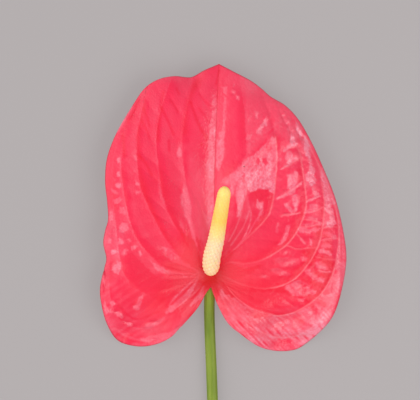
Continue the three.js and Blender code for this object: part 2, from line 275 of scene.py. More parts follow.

# Where things begin and where they fade, as the two bounds of a smooth step, those of painted highlight,
# shade and sheen among them. Distances from the node,
FALLS_BEGIN, CREASES_BEGIN, PILLOWS_BEGIN = (8, 30), (4, 16), (14, 40)
PLEATS_BEGIN, PLEATS_FADE = (3, 14), (14, 34)
HIGHLIGHT_BEGINS, SHADE_BEGINS, PALE_VEINS_AND_HIGHLIGHT_BEGIN = (14, 38), (6, 20), (14, 42)
WAX_BEGINS, THIN_WAX_BEGINS = (12, 36), (8, 20)
# widths of a band,
ROOMY = (2.5, 8)
# places across a band, from -1 to 1,
THIN_WAX_ACROSS, SHADE_ACROSS = (-0.1, 0.7), (0.1, 0.9)
# shares of the way from the heart to the edge,
CREASES_FADE, PILLOWS_FADE, SHEEN_BEGINS, FAR_SHEEN_BEGINS = (0.9, 0.99), (0.96, 1), (0.5, 0.98), (0.82, 1)
# distances to the right of the node, and of the midrib,
ROLL_RIGHT, OUTER_RIGHT, GLOSSY_RIGHT, HALVES_MEET = (5, 55), (5, 40), (2, 14), (-1.5, 1.5)
# to the left of the node,
OUTER_LEFT, FAR_LEFT, LEFT_RIBS = (32, 48), (36, 46), (14, 24)
# up from it towards the tip,
CREST_BEGINS, CREST_FADES, MIDRIB_LINE_BEGINS = (52, 66), (88, 98), (20, 35)
# and down from it, over the lobes.
RIDGE_BEGINS, RIBS_BEGIN, LEFT_RIBS_BEGIN = (-2, 12), (-8, 12), (-6, 8)
CORD_FADE = 3                  # half the length over which a cord ends

TRIANGLE_PLACE, TRIANGLE_REACH = (21, 52), 13  # the large bright facet to the right of the spadix
# Reach of the deep red and painted shade in the funnel, and widths of the painted shade in the midrib's
# crease and along the edge.
FUNNEL_RED_AND_SHADE_REACH, MIDRIB_SHADE_WIDTH, EDGE_SHADE_WIDTH = 7.5, 0.35, 0.6
WARM_PLACE, WARM_REACH = (5, -9), (45, 24)     # a warmer red lies across the lobes
# Line and reach of a painted pink sheen on the blade left of the spadix.
SPADIX_SHEEN, SPADIX_SHEEN_REACH = [(-4, 6), (-6, 30), (-5, 46)], 6

WAXY_RED, LIGHT_RED, WARM_RED = (0.828, 0.005, 0.055, 1), (0.848, 0.011, 0.066, 1), (0.8, 0.008, 0.036, 1)
# Of the next two lines, the first colour is painted highlight, the second the veins' own paler pink that on
# the right half is also painted highlight, the third a painted sheen, and all three reds of the second line
# are painted shade.
HIGHLIGHT_PINK, VEIN_PINK_AND_HIGHLIGHT, SHEEN_PINK = (0.88, 0.225, 0.314, 1), (0.92, 0.18, 0.22, 1), (0.93, 0.052, 0.118, 1)
DIP_SHADE_RED, FUNNEL_RED_AND_SHADE, EDGE_SHADE_RED = (0.79, 0.0005, 0.028, 1), (0.58, 0.001, 0.004, 1), (0.33, 0.005, 0.02, 1)
BLADE_SPECK = (0.3, 0.004, 0.01, 1)
BACK_RED, LIGHT_BACK_RED, BACK_VEIN = (0.7, 0.05, 0.075, 1), (0.78, 0.09, 0.115, 1), (0.74, 0.2, 0.17, 1)

# Edge of the blade from the notch at the stem round the left lobe to the tip, then from the notch round
# the right lobe to the tip.
EDGE_LEFT = [(0, -5.2), (-2.8, -8.6), (-7, -15.6), (-12.6, -22), (-20.5, -30.4), (-29, -34.6),
             (-38, -35.3), (-47, -32.2), (-52.2, -23.5), (-54.8, -13), (-55.3, -5), (-53.3, 4.5),
             (-52.3, 9.5), (-53.6, 17), (-52.7, 23.5), (-51.3, 29), (-51.8, 38), (-52.8, 48), (-51.7, 60),
             (-46.7, 72.8), (-38.7, 86.3), (-33, 94.3), (-26, 98.7), (-18, 100.3), (-10, 99.9),
             (-3.5, 103.2), (4, 106.5)]
EDGE_RIGHT = [(0, -5.2), (1.6, -9.5), (4.5, -16), (9, -23.4), (15, -28.5), (24, -35), (32, -37.5),
              (40, -37.5), (46, -35.3), (54.4, -28), (61.2, -19.3), (65.5, -6), (67.8, 9), (66.2, 23),
              (62.1, 39.5), (56, 55), (50, 68), (43.5, 79), (37, 85.8), (30, 90), (25.5, 94), (20, 98),
              (12, 102.2), (4, 106.5)]
MIDRIB = [(0, 1), (1.5, 30), (2, 60), (3, 85), (4, 106)]
# The main veins of each half, from the midrib outwards.
VEINS_RIGHT = [
    [(1, 3), (7.5, 16), (13, 28), (16.5, 45), (17.5, 62), (17, 78), (14.5, 97)],
    [(1, 2), (5.4, 8.5), (14.5, 16.5), (26.5, 28.5), (30, 35.5), (32, 48.5), (32.5, 62.5), (31, 73),
     (26, 90)],
    [(1, 1), (8.3, 7.2), (17, 7), (25.5, 9), (37, 16), (43.3, 24.5), (46.5, 33), (47.1, 40), (45.6, 52),
     (43.8, 62.5), (40.6, 69.5), (34, 83)],
    [(1, 0), (4.9, 1), (17.5, -4.1), (29, -5.2), (39.8, -1.7), (47.1, 5.4), (51.3, 12), (54.6, 21),
     (56.3, 34), (55.4, 45), (52, 58), (47.5, 67.5), (40, 79), (33, 87)],
    [(1, -1), (6, -1.5), (11.8, -9), (20.4, -15.2), (29, -18), (34.5, -19), (43.3, -16.5), (52, -10.5),
     (56.5, -5.5), (60.5, 2), (62.8, 11.2), (63.6, 20), (62.6, 31), (59, 43.5), (54.5, 54), (46.5, 70),
     (41.5, 78), (35, 85.5)],
    [(1, -2), (5.5, -9), (11.5, -14.5), (17.5, -21.5), (25, -27.2), (31.8, -30), (40.5, -30), (46, -27.9),
     (55, -21), (61.5, -11), (65, 4), (65.2, 20), (64.4, 28), (62, 36), (59.9, 43.5), (55.4, 54),
     (48.3, 69)],
]
VEINS_LEFT = [
    [(-1, 3), (-6, 14), (-9, 25.5), (-10.5, 37), (-13, 52), (-14.3, 66), (-13, 78), (-10, 93), (-9, 100)],
    [(-1, 2.5), (-8.9, 13), (-14.6, 21), (-19.2, 28.5), (-23.7, 38.8), (-26, 56), (-27, 65.7), (-26, 78),
     (-21, 95)],
    [(-1, 2), (-8.9, 5.5), (-14.6, 9.5), (-20.3, 16.5), (-26, 25.5), (-34.1, 42.8), (-36.3, 55),
     (-36.6, 70.5), (-33.5, 86)],
    [(-1, 1), (-8.9, 2), (-15.8, 2.6), (-23.2, 5), (-28.4, 9.5), (-34.7, 16.5), (-39.3, 25.5),
     (-42.7, 40), (-44.5, 56), (-42.5, 73)],
    [(-1, 0), (-9, -0.9), (-14.6, -3.2), (-25.5, -7), (-33, -7.2), (-38.7, -3), (-43.3, 2.5), (-45.5, 12),
     (-47, 25), (-48.5, 40), (-48.5, 56), (-46, 67), (-41, 77)],
    [(-1, -2), (-7, -6.5), (-20.5, -17), (-28, -22.6), (-34.7, -25.5), (-40.5, -25), (-46, -20.5),
     (-50, -10), (-50.3, 2), (-50, 18), (-49.7, 28), (-50.4, 38), (-51, 48), (-50, 60), (-45.5, 72)],
]
# The cross veins that show, from one main vein to the next.
CROSS_VEINS = [
    [(34.8, 30.3), (36.5, 31.2), (40, 31.5), (44, 32.3)],
    [(32.6, 39.3), (36, 40.8), (40.5, 43.3), (45, 47.4)],
    [(34.8, 53.9), (37.5, 55), (41, 57.2), (43.8, 59.6)], [(35.8, 62.6), (38.5, 64), (42.8, 65.8)],
    [(37, 16), (39, 15.5), (42, 14.2), (45, 14.1), (48, 14.7), (52, 14.7)],
    [(47.5, 38), (51, 39.3), (54.5, 40.5)], [(46, 32.2), (50, 32.6), (53, 33.6), (55.8, 35.2)],
    [(46, 28.9), (51, 28.3), (55.3, 27)], [(43.5, 25.5), (48, 25.2), (54.8, 27)],
    [(55.3, 24.3), (58, 25.2), (62.8, 25)], [(54.6, 18.4), (58, 19.2), (63, 19.4)],
    [(51.8, 10.2), (54, 9.8), (57, 9.2), (61.8, 8.7)], [(53, 3.6), (57, 2.6), (60.5, 2.8)],
    [(56.5, 46), (59, 42.5), (61.5, 37)], [(46.5, 17), (44, 20), (42, 22)],
    [(14.5, 31), (15, 35), (17, 40), (17.6, 45), (15.5, 49.5)],
]

# Each half of the blade has a band between every two neighbouring lines, from the midrib out to the edge.
# For each band: the spacing of its cross veins, in millimetres along the band if it is over 1 and else in
# radians about the pivot; how far they slant forward; the height of the pillows between them; how much
# painted highlight lies just beyond the inner line, how much all over, and how much painted shade (a deeper
# red) just before the outer line.
# For the half: the share of a band's width that the sheet falls by beyond each vein, and the part of the
# band where it reaches that; the height of round swells between the veins, the depth of the crease under
# each vein, and the ridge that the last vein of the lobe stands on. For each vein: how much it stands out
# as a cord, pale in its own pink and on the right half in painted highlight too, and how far up it does.
RIGHT_HALF = dict(
    veins=VEINS_RIGHT, edge=EDGE_RIGHT, to_right=True, pivot=(-4, 22), seed=8,
    spacing=(14, 10, 0.2, 0.16, 0.11, 0.04, 0.03), slant=(9, 6, 0, 0, 0, 0, 0),
    pillow=(0.1, 0.12, 0.25, 0.25, 0.25, 0.14, 0.12), highlight_start=(0, 0.1, 0.1, 0.1, 0.05, 0.2, 0.1),
    highlight_all=(0, 0.03, 0, 0, 0, 0.15, 0.2), shade_end=(0.1, 0.2, 0.25, 0.25, 0.35, 0.1, 0),
    fall=0.045, foot=0.33, swell=0.5, crease=0.2, ridge=0.7,
    cords=(0.1, 0.9, 1, 1, 1, 0.8), tops=(60, 70, 65, 47, 70, -18))
LEFT_HALF = dict(
    veins=VEINS_LEFT, edge=EDGE_LEFT, to_right=False, pivot=(4, 20), seed=3,
    spacing=(15, 13, 11, 9, 0.12, 0.11, 0.09), slant=(12, 10, 8, 5, 0, 0, 0),
    pillow=(0.2, 0.25, 0.25, 0.2, 0.2, 0.2, 0.2), highlight_start=(0, 0.22, 0.2, 0.14, 0.14, 0.08, 0.05),
    highlight_all=(0.06, 0, 0, 0.02, 0.02, 0.05, 0.05), shade_end=(0.05, 0.22, 0.3, 0.18, 0.2, 0.1, 0),
    fall=0.07, foot=0.45, swell=0.0, crease=0.05, ridge=0.6,
    cords=(0, 0, 0, 0.2, 0.15, 0.7), tops=(100, 100, 100, 60, 40, -5))
CELLS_MOST = 128               # no band has more cells than this

# Facets, where the sheet is crumpled flat and leans down to one side: place, half-length, half-width, the
# way the length runs in degrees, and the slope.
FACETS_RIGHT = [
    (11, 92, 1.2, 0.8, 90, 0.19), (13, 89.5, 1.2, 0.8, 90, 0.19), (19, 79, 1.8, 1, 90, 0.15),
    (22.5, 81, 1.5, 0.9, 90, 0.19), (19.2, 70, 1.9, 1, 90, 0.19), (26.8, 78, 2.8, 1.3, 60, 0.22),
    (24.3, 74, 2.3, 1.1, 55, 0.22), (23.5, 54.5, 15, 7, 45, 0.15), (29.5, 66, 5, 2, 75, 0.19),
    (22.5, 58.5, 7, 2.5, 42, 0.19), (14, 52, 7, 2.6, 50, 0.19), (28.5, 52, 5, 3.5, 80, 0.19),
    (19, 48, 5, 4, 0, 0.19), (28, 46.5, 4, 2, 0, 0.19), (14.8, 41, 5.5, 1.9, 85, 0.22),
    (14, 34, 3.5, 1, 80, 0.19), (24.5, 36, 2.8, 1.9, 80, 0.21), (25, 31, 3, 0.7, 60, 0.15),
    (19, 27, 3, 0.8, 60, 0.15), (18, 23.5, 3, 0.7, 55, 0.15), (39.5, 65.5, 4, 1.5, 25, 0.22),
    (40.3, 69, 1.6, 1.3, 90, 0.22), (40.3, 59.2, 3, 2.5, 30, 0.21), (40.7, 49.5, 3.4, 2.5, 85, 0.22),
    (38.5, 43, 5, 1, 25, 0.22), (42.5, 36.8, 3.3, 1.2, 85, 0.22), (38, 36, 1.6, 1.1, -40, 0.21),
    (39.5, 31.3, 4, 0.6, 5, 0.22), (36.8, 21.5, 5, 0.9, 60, 0.2), (33, 26, 1.3, 0.9, 60, 0.19),
    (37.3, 12.5, 2.2, 1.1, 10, 0.19), (46, 9.6, 1.6, 1, 0, 0.2), (39, 7.3, 4.8, 1.5, 5, 0.21),
    (35, 2.2, 4, 1.1, -8, 0.2), (26.5, 0.6, 1.8, 0.8, 0, 0.15), (55.2, 6.3, 3, 1.2, -38, 0.22),
    (51.5, 1, 4.8, 1.2, -38, 0.21), (44, -5.5, 4.5, 2.1, -30, 0.21), (47.5, -8, 3, 1.4, -20, 0.21),
    (44.5, -11, 1.3, 0.8, 0, 0.21), (40, -24, 9, 4, 5, 0.15), (52, -20, 9, 4.5, 38, 0.22),
    (58, -12, 7, 3.5, 62, 0.26), (62.5, -3, 6, 2, 78, 0.28), (44, 72.5, 3.5, 1.2, 120, 0.22),
    (36, 80.5, 1.2, 0.7, 60, 0.19), (38, 77, 1.3, 0.8, 60, 0.19),
]
FACETS_LEFT = [
    (-15.6, 61.5, 2.5, 1.1, 90, 0.24), (-12.6, 40, 6, 1.7, 100, 0.24), (-11.3, 30, 5, 1, 112, 0.22),
    (-14, 26, 3, 0.7, 112, 0.2), (-24.6, 40, 4, 0.7, 110, 0.16), (-37.5, 59.5, 1.3, 0.9, 90, 0.2),
    (-36.8, 46.8, 1.2, 1, -45, 0.24), (-36.5, 42, 1.2, 1, 0, 0.2), (-45.8, 58.3, 1.7, 0.8, 90, 0.24),
    (-45.8, 51.3, 1.5, 0.8, 90, 0.24), (-45.6, 45.7, 1.5, 1.1, 0, 0.24), (-47, 42, 1.3, 0.8, -30, 0.2),
    (-46, 38, 1.4, 1.2, 0, 0.16), (-44, 33, 1.6, 1.2, 0, 0.16), (-43.2, 24.5, 2, 2, 0, 0.2),
    (-49.5, 31, 3, 0.7, 85, 0.2), (-50.3, 18, 1.2, 0.9, 0, 0.2), (-44.5, 17.5, 1.3, 1, 0, 0.2),
    (-40.5, 18.5, 1.3, 0.9, 0, 0.18), (-38, 15, 1.8, 1, 25, 0.22), (-35.2, 12.5, 1.4, 0.8, -60, 0.2),
    (-48, 13, 1.8, 1, -10, 0.24), (-46.5, 5.5, 2.2, 2, 0, 0.24), (-43, 12, 1.2, 1, 0, 0.18),
    (-22, 14, 2.2, 0.8, -10, 0.08), (-20, 10.5, 2.4, 1.5, -30, 0.08), (-26.5, 5, 4, 1.2, -38, 0.12),
    (-35.5, -11, 2.2, 0.8, 55, 0.16), (-37.5, -14.5, 1.3, 1, 0, 0.2), (-49.2, -13, 1.2, 0.9, 0, 0.22),
    (-50.3, -17, 1.4, 0.9, 0, 0.2), (-46.3, -18.3, 2, 0.9, -35, 0.22), (-42, -23.3, 2.2, 0.7, -25, 0.2),
    (-20, -15.5, 2.6, 1.2, 35, 0.08), (-30, -23.5, 3, 1, 20, 0.18), (-16, -26, 2.5, 1, 40, 0.18),
    (-32, -32, 4, 0.8, 5, 0.18), (-53.3, -2, 4, 0.6, 95, 0.2), (-52.6, -14, 3, 0.7, 105, 0.18),
]
LEANS = [((0.885, -0.465), FACETS_RIGHT), ((-0.92, -0.38), FACETS_LEFT)]      # the way down, seen from above

# Where the quilted wax catches the light, painted highlight makes the blade paler, and in its dips painted
# shade makes it a deeper red. Both are a tone: 0 for plain red, PALEST at the palest, and below 0 where
# deeper.
PALEST = 1.3
# Patches of painted highlight and painted shade, each with its tone and its outline. A later one lies over
# those before it, so the darker dimples in a pale patch follow it.
PATCHES = [
    # broad ground tones, under the rest
    (0.24, [(17.2, 97), (16.9, 72), (18.5, 64.5), (27, 71.5), (33, 76), (40, 78), (38, 84.5), (30, 89.5),
        (25, 94), (20, 97.5), (14, 100.5)]),
    (-0.25, [(18.3, 41.8), (21, 42.6), (25.5, 44.2), (31, 41.8), (30.5, 36), (27, 28), (25, 28), (21, 31),
        (19, 36)]),
    (-0.5, [(5, -2), (12, -4.2), (20, -5.1), (35, -4.7), (40, -9.5), (36, -8), (30, -7), (20, -7.4),
        (12, -7), (6, -4.5)]),
    (-0.15, [(8, -5), (14, -10), (22, -14), (28, -16.6), (36, -18), (44, -16.8), (52, -11), (46, -13.8),
        (38, -14.5), (30, -13.5), (22, -10.5), (14, -6.5)]),
    (-0.12, [(-43.5, 11), (-39, 12), (-35, 8), (-28, 1), (-20, -2), (-12, -3), (-16, -8), (-24, -13),
        (-32, -8), (-40, -4), (-43, 3)]),
    (-0.4, [(-4.5, 18), (-8, 21), (-12, 15), (-16, 8.5), (-9, 5.5), (-5, 7)]),
    (-0.45, [(4.5, 8), (9, 13), (13, 14.5), (9, 7.5), (17, 4.5), (26, 6.5), (20, 2), (12, -1.5), (5, 0)]),
    (0.14, [(1.5, 58), (1, 44), (0.5, 20), (-2.5, 16), (-5, 22), (-8, 30), (-8.5, 40), (-7.5, 50),
        (-5, 55), (-2, 58)]),
    # along the midrib
    (0.42, [(0.6, 91), (2.6, 90), (3, 86), (2.7, 78), (2.4, 72), (0.5, 72), (-0.4, 77), (0.2, 84)]),
    (0.7, [(-0.6, 77.5), (0.6, 76), (2.3, 73), (2, 60), (1.8, 50), (1.5, 44), (1, 36), (0.5, 28),
        (-1.3, 24), (-2, 34), (-2.3, 45), (-2, 52), (-2.6, 56), (-1.6, 59), (-1.5, 64), (-2, 67),
        (-0.9, 70)]), (0.4, [(-3.7, 38), (-3, 38), (-2.9, 28), (-3.6, 21), (-4.2, 22), (-3.8, 30)]),
    (0.3, [(-7, 38), (-5.6, 38), (-4.6, 28), (-4, 18), (-5, 18), (-6, 27)]),
    # the first and second bands on the right, from the tip down
    (0.6, [(5.4, 94.5), (8, 94.8), (7.8, 90.5), (6.8, 91.5)]),
    (0.48, [(6.5, 90), (8.1, 89.5), (7.4, 82), (7.3, 75), (6.6, 70), (5.4, 71), (6, 78), (6.3, 84)]),
    (0.6, [(4.2, 72), (7, 72.5), (6.8, 66), (6.6, 61), (5.4, 56), (4, 53), (2.8, 54.5), (2.6, 60),
        (2.8, 66), (3.6, 70)]), (0.5, [(10.8, 96.5), (11.8, 96), (11.5, 94.5), (10.8, 95)]),
    (0.55, [(10.5, 93), (12, 92.7), (11.8, 91.2), (10.6, 91.5)]),
    (0.6, [(12.5, 90.2), (14, 90), (13.8, 88.2), (12.6, 88.6)]),
    (0.6, [(21.5, 82.6), (23.4, 82.7), (23.4, 79), (21.8, 79)]),
    (0.35, [(17.8, 79.6), (19.9, 79.6), (20, 75.8), (18.2, 76)]),
    (0.95, [(27.7, 80.4), (28.1, 75.6), (27.2, 75), (24.6, 75.4), (25.8, 77.6)]),
    (0.85, [(26.4, 76.2), (26, 74.6), (24.4, 71.2), (22.5, 71.6), (22.6, 73.4), (24.2, 75.6)]),
    (0.55, [(17.7, 71.2), (20.4, 71), (19.6, 68.6), (18, 68.2)]),
    (0.45, [(35.7, 81), (36.7, 81.5), (36.3, 79.2), (35.6, 79.6)]),
    (0.5, [(37.2, 78), (38.8, 78), (38, 75.8), (37.1, 76)]),
    (0.4, [(37.3, 73.6), (39.2, 74.6), (38.3, 72.3)]),
    # the bright triangle between the first two veins, and its dimples
    (1, [(30.5, 70.6), (28, 67.5), (25, 64.3), (22, 61.5), (20, 60.4), (17, 58.6), (15, 56.2), (14, 53.8),
        (17, 51.8), (16.8, 48.5), (17.4, 46), (19.3, 42.8), (21, 42.6), (23, 43.6), (25.5, 44.2),
        (28, 43.6), (31, 41.8), (31.6, 46), (32.2, 50), (32.6, 55), (32.9, 60), (32.5, 65), (31.6, 69)]),
    (0.3, [(13, 53.5), (11, 52), (8.5, 50.5), (6, 49.5), (5, 46.8), (10.6, 46), (12, 49)]),
    (0.62, [(15, 55.6), (13, 53.5), (11, 51.7), (9.6, 50.6), (9.6, 46), (9.6, 40.5), (10.8, 40.5),
        (11.6, 44.5), (13.6, 48.6), (16, 51)]),
    (0.8, [(12.1, 44.4), (14, 49), (17.3, 46.8), (17.7, 43), (16.5, 38.5), (15.4, 34.5), (14.3, 30.3),
        (12.7, 30), (13.3, 34), (12.9, 38), (12.2, 41)]),
    (0.72, [(15.4, 56), (17, 58.3), (20, 60), (22.6, 60.8), (22.6, 57), (22.8, 54.2), (20.5, 53),
        (17.5, 52.8), (16, 54)]),
    (0.5, [(28, 69), (29.6, 69.2), (30, 66), (29.5, 62.5), (28.2, 62), (27.2, 65)]),
    (0.15, [(22.6, 59.6), (23.9, 59.8), (24.2, 56.8), (23.5, 55.2), (22.2, 56.8)]),
    (0.1, [(25.1, 60), (27.4, 59.3), (28.4, 56.8), (27.2, 55.4), (25.4, 57.3)]),
    (0.3, [(25, 55.6), (26.2, 54.6), (25, 52.6), (24.3, 54)]),
    (0.55, [(22.5, 38.5), (23.6, 38.8), (24.5, 37), (26, 38), (26, 33.5), (25.2, 32.5), (24, 34),
        (22.6, 34.4)]), (0.4, [(24.8, 34), (25.8, 33), (23.5, 28.5), (22.5, 28)]),
    # the third band on the right, down to the spadix
    (0.9, [(40, 71), (41.4, 69.5), (42, 67), (42.9, 65.8), (40, 65), (36.5, 62.4), (35.7, 62.8),
        (36.5, 64.2), (39, 66.2), (39.4, 68.5)]),
    (0.85, [(37.3, 62.4), (39.8, 62.6), (40.7, 60.8), (40.3, 59.4), (42.8, 59.9), (43.1, 59),
        (39.8, 56.6), (35.3, 53.6), (34.1, 53.6), (36.3, 55), (38.1, 56.1), (37.3, 58.3), (36.7, 60.3)]),
    (0.45, [(33.5, 60), (34.7, 59.2), (34.3, 57.6), (33.4, 58.2)]),
    (0.85, [(37.6, 51.1), (40.9, 51), (41.4, 53), (42.6, 52.8), (42.9, 51), (42.9, 47.5), (42.1, 45),
        (39.6, 44), (38.2, 44.3), (37.8, 47)]),
    (0.22, [(32.8, 49.5), (35.6, 49.3), (35, 47.7), (33, 48)]),
    (0.78, [(44.9, 47.6), (44.8, 46.2), (42, 44.5), (41.5, 42.7), (40.5, 41.5), (36, 39.7), (32.8, 38.8),
        (32.9, 39.7), (36, 41.2), (39, 42.7), (41, 44.5), (43, 46.5)]),
    (0.75, [(40.4, 41), (42.9, 41), (43, 35), (42.8, 32.4), (40.8, 32.4), (41.1, 34.5), (40.3, 36.5)]),
    (0.75, [(36.2, 37.1), (37.8, 36.6), (40.7, 33.7), (40.3, 31.9), (38.9, 32.8), (36.9, 34.8)]),
    (0.5, [(37.6, 26.2), (39.1, 25.5), (38.5, 22), (37, 18.5), (34, 15.8), (32.6, 15.8), (35, 18.5),
        (36.5, 22)]), (0.3, [(32.4, 27.2), (34.2, 26.5), (33.1, 21.8), (32, 22.3)]),
    # the fourth band
    (1, [(42, 78.2), (44, 76.5), (45.7, 73), (45.6, 70), (44.3, 69.3), (43, 71.5), (42.2, 74.5)]),
    (1, [(46, 71), (47.4, 70.4), (48.8, 66.5), (48.4, 63.5), (49.4, 60.5), (50.2, 58), (48.2, 58),
        (46.8, 61.5), (46, 64), (46.4, 67)]),
    (1, [(48.4, 59.2), (49.7, 58.5), (50.5, 56), (51, 54), (51.9, 53), (51.2, 50.5), (52.6, 48),
        (51.5, 46.5), (49.5, 45.1), (48.5, 47), (46.9, 48.5), (46.9, 51), (48.5, 53), (48.8, 56)]),
    (0.68, [(50.2, 44.6), (51.6, 43.7), (53.6, 41.6), (54.4, 40.6), (50.5, 38), (47.5, 37.4),
        (47.8, 38.5), (50.8, 39.8), (51.5, 41), (50.5, 42.3)]),
    (0.55, [(48.7, 36.4), (53, 36.2), (53.3, 34.2), (51.9, 32.7), (46.9, 31.9), (45.7, 32.5),
        (49.4, 34.4)]), (0.4, [(46.4, 30.4), (52.6, 29.5), (52.6, 28.4), (47, 28.6)]),
    (0.4, [(45, 26.3), (50, 27.1), (54.6, 27.3), (54.6, 26), (48, 25.2)]),
    (0.62, [(44, 24.9), (48, 24.4), (54, 24.9), (54.4, 23.5), (49, 21.9), (44.5, 22.1), (42.8, 23.5)]),
    (0.45, [(44.4, 19.7), (46.6, 18.1), (47.6, 16.2), (46.5, 16.2), (44.4, 18.3)]),
    (0.6, [(48.9, 19.7), (50.1, 18.6), (50.4, 15.4), (48.7, 16.4)]),
    (0.14, [(35, 13.5), (38, 14.4), (42.5, 13), (41.5, 11), (36, 11.2)]),
    (0.28, [(44, 10.8), (48.6, 9.9), (47.6, 7.9), (45, 8.2)]),
    (0.24, [(31, 9.4), (36, 10), (43.8, 9.8), (44.2, 6.4), (40, 5.3), (35, 5.2)]),
    (0.24, [(29.5, 4.4), (34, 4.6), (39, 2.4), (39, 0.8), (34, 1.2), (31, 2.4)]),
    (0.2, [(24.5, 1.2), (27.6, 0.9), (27.6, -0.6), (25, -0.5)]),
    # the fifth band
    (0.7, [(54.2, 53), (55.4, 55), (58, 49), (60.2, 43), (61.8, 37), (59, 35.4), (57, 36.5), (56.2, 41),
        (55.6, 46)]),
    (0.88, [(56.6, 37), (60, 35.5), (61.6, 30), (62.2, 26.5), (60.5, 25.4), (57, 24.7), (57.3, 27),
        (59.4, 28.6), (58.4, 32), (56.5, 34)]),
    (0.4, [(56, 22.7), (60, 22), (62.2, 20.2), (61, 19.4), (58, 20.8), (55.5, 21.3)]),
    (0.35, [(55.4, 19.6), (62, 20), (62, 19), (55, 18.3)]),
    (0.42, [(55, 16.4), (59, 16.7), (60, 15.4), (57, 14.4), (55, 14.9)]),
    (0.75, [(53.3, 13.6), (55.6, 14.4), (57.4, 13.4), (60.4, 11.6), (60, 10.6), (57, 11.6), (55, 11.8),
        (53.8, 12.2)]),
    (0.7, [(51.3, 7.3), (52.7, 7.9), (54.9, 5.7), (57.3, 5.1), (56.7, 3.7), (53.9, 3.9), (51.9, 5.5)]),
    (0.45, [(53.5, 3.6), (59.6, 3.2), (59.6, 2.2), (54, 2.4)]),
    (0.6, [(46.8, 3.8), (48.6, 3.9), (51, 1.6), (54, -0.4), (56.4, -0.8), (55.4, -2.6), (52, -1.8),
        (49.4, -0.2), (47.4, 1.8)]),
    (0.62, [(37.6, -3.8), (41, -2.4), (43.4, -2.6), (45.4, -4.6), (47.8, -4.4), (49.6, -5.8),
        (52.4, -6.6), (52.4, -8), (48, -8.8), (43.4, -9.4), (40.4, -8.6), (36.6, -5.6)]),
    (0.25, [(44, -3.6), (45.2, -4.4), (47.6, -6.8), (46.6, -6.8)]),
    (0.5, [(44.3, -10.4), (47.7, -9.6), (46, -12.2), (43.9, -11.4)]),
    (0.12, [(24, -9.5), (30, -11), (36, -11), (39, -13), (37, -14), (32, -12.5), (26, -11.5)]),
    # the right lobe and its dimples
    (0.5, [(12, -10.5), (17, -15), (20, -19.5), (25, -21.3), (29, -19.8), (42, -17.4), (50, -14.5),
        (57, -6.5), (61, 1), (63, 7), (65, 8), (70, 6), (70, -8), (66, -18), (60, -28), (50, -38),
        (38, -41), (26, -39), (12, -29), (4, -18), (3, -12), (5, -6), (8, -9)]),
    (0.85, [(57.4, -8.6), (60.6, -8), (62.4, -3), (64.6, 2), (64.2, -5), (62.6, -13), (60, -19),
        (54.4, -27), (47, -34.6), (44.2, -34.4), (46.6, -30.6), (43, -30), (46, -28), (50, -25),
        (52.6, -22), (55.4, -20.4), (56, -16.6), (58.4, -14.4), (59, -10.4)]),
    (0.6, [(41, -19.4), (44, -18.4), (50, -20), (52, -22.4), (48, -23), (44, -21)]),
    (0.05, [(48.8, -14), (50.4, -13.2), (52.6, -15.4), (54.4, -17.8), (54.8, -20.4), (52.4, -19),
        (50.2, -16.4)]),
    (0.15, [(52.2, -10.6), (54.4, -11.2), (57.6, -13.4), (57.2, -15), (54.4, -14.2), (52.6, -12.4)]),
    (0.15, [(55.2, -6.4), (58.4, -6.6), (59, -8), (56.6, -8.8), (55.2, -8)]),
    (0.1, [(60.8, 4), (63.4, 3.4), (63.4, 1.6), (61.2, 1.6)]),
    (0.3, [(60.2, -2.4), (61.4, -1.6), (62.6, -3.4), (60.8, -3.6)]),
    (0.25, [(45, -21), (48.6, -23.4), (49, -25), (45.8, -23.2)]),
    (0.2, [(40, -23.6), (43.6, -26.6), (43.2, -27.8), (40.6, -25.6)]),
    (0.2, [(33.5, -31), (40, -31.4), (40.5, -34), (36.5, -33), (34.5, -32.5)]),
    (0.35, [(25.5, -19), (27.8, -21.6), (26.6, -22), (24.6, -20)]),
    # the left half, from the midrib outwards
    (0.6, [(-16.9, 63), (-15.8, 65), (-14.5, 64), (-14.7, 60.5), (-16, 59.6), (-17.2, 61)]),
    (0.62, [(-13.2, 47), (-14, 42.5), (-15.4, 40), (-14.5, 36), (-13.2, 31.5), (-11, 26), (-9.2, 20),
        (-6.6, 14), (-7.6, 19), (-8.8, 24), (-9.6, 31), (-9.4, 35), (-10.5, 39), (-12.2, 44.5)]),
    (0.35, [(-16.2, 28.8), (-14.7, 27), (-11.8, 20.6), (-12.9, 21.3), (-15, 25)]),
    (0.3, [(-26.6, 48.2), (-25.5, 47), (-24, 40), (-22, 35), (-23.9, 37), (-25.4, 41)]),
    # small facets near the left edge
    (0.7, [(-46.8, 59), (-45.5, 60.2), (-45.1, 57), (-46.4, 56.1)]),
    (0.6, [(-46.9, 52), (-45.3, 52.6), (-45.1, 50.2), (-46.6, 50.2)]),
    (0.75, [(-47.5, 46), (-45, 47.1), (-44.2, 45.3), (-45.5, 44), (-46.8, 45)]),
    (0.7, [(-37.7, 48), (-36, 47.5), (-35.2, 46), (-36.6, 45.5), (-37.7, 46.5)]),
    (0.45, [(-37.6, 43.2), (-35.4, 43.1), (-35.2, 41.9), (-36.8, 41.3)]),
    (0.4, [(-38.4, 60.6), (-36.7, 60.6), (-36.7, 58.1), (-38.1, 58.1)]),
    (0.35, [(-48.9, 49.6), (-47.2, 48.5), (-48.1, 47.8)]),
    (0.4, [(-49.6, 44.4), (-47, 43.2), (-46.2, 42), (-47.8, 41.7), (-49.4, 42.8)]),
    (0.4, [(-48.6, 38.6), (-45.5, 40.1), (-44.2, 39), (-45.8, 36.8), (-48.2, 36.4)]),
    (0.45, [(-45.2, 35.2), (-43, 34.6), (-41.8, 31.3), (-44.9, 31.9)]),
    (0.5, [(-44.6, 27.2), (-42, 27.2), (-40.6, 24.5), (-43, 22), (-45.2, 22.8)]),
    (0.4, [(-50.1, 33.2), (-48.7, 32.5), (-48.7, 28.3), (-50.2, 27.8)]),
    (0.45, [(-51.1, 19.5), (-49.4, 19), (-49.7, 16.8), (-51.2, 17.2)]),
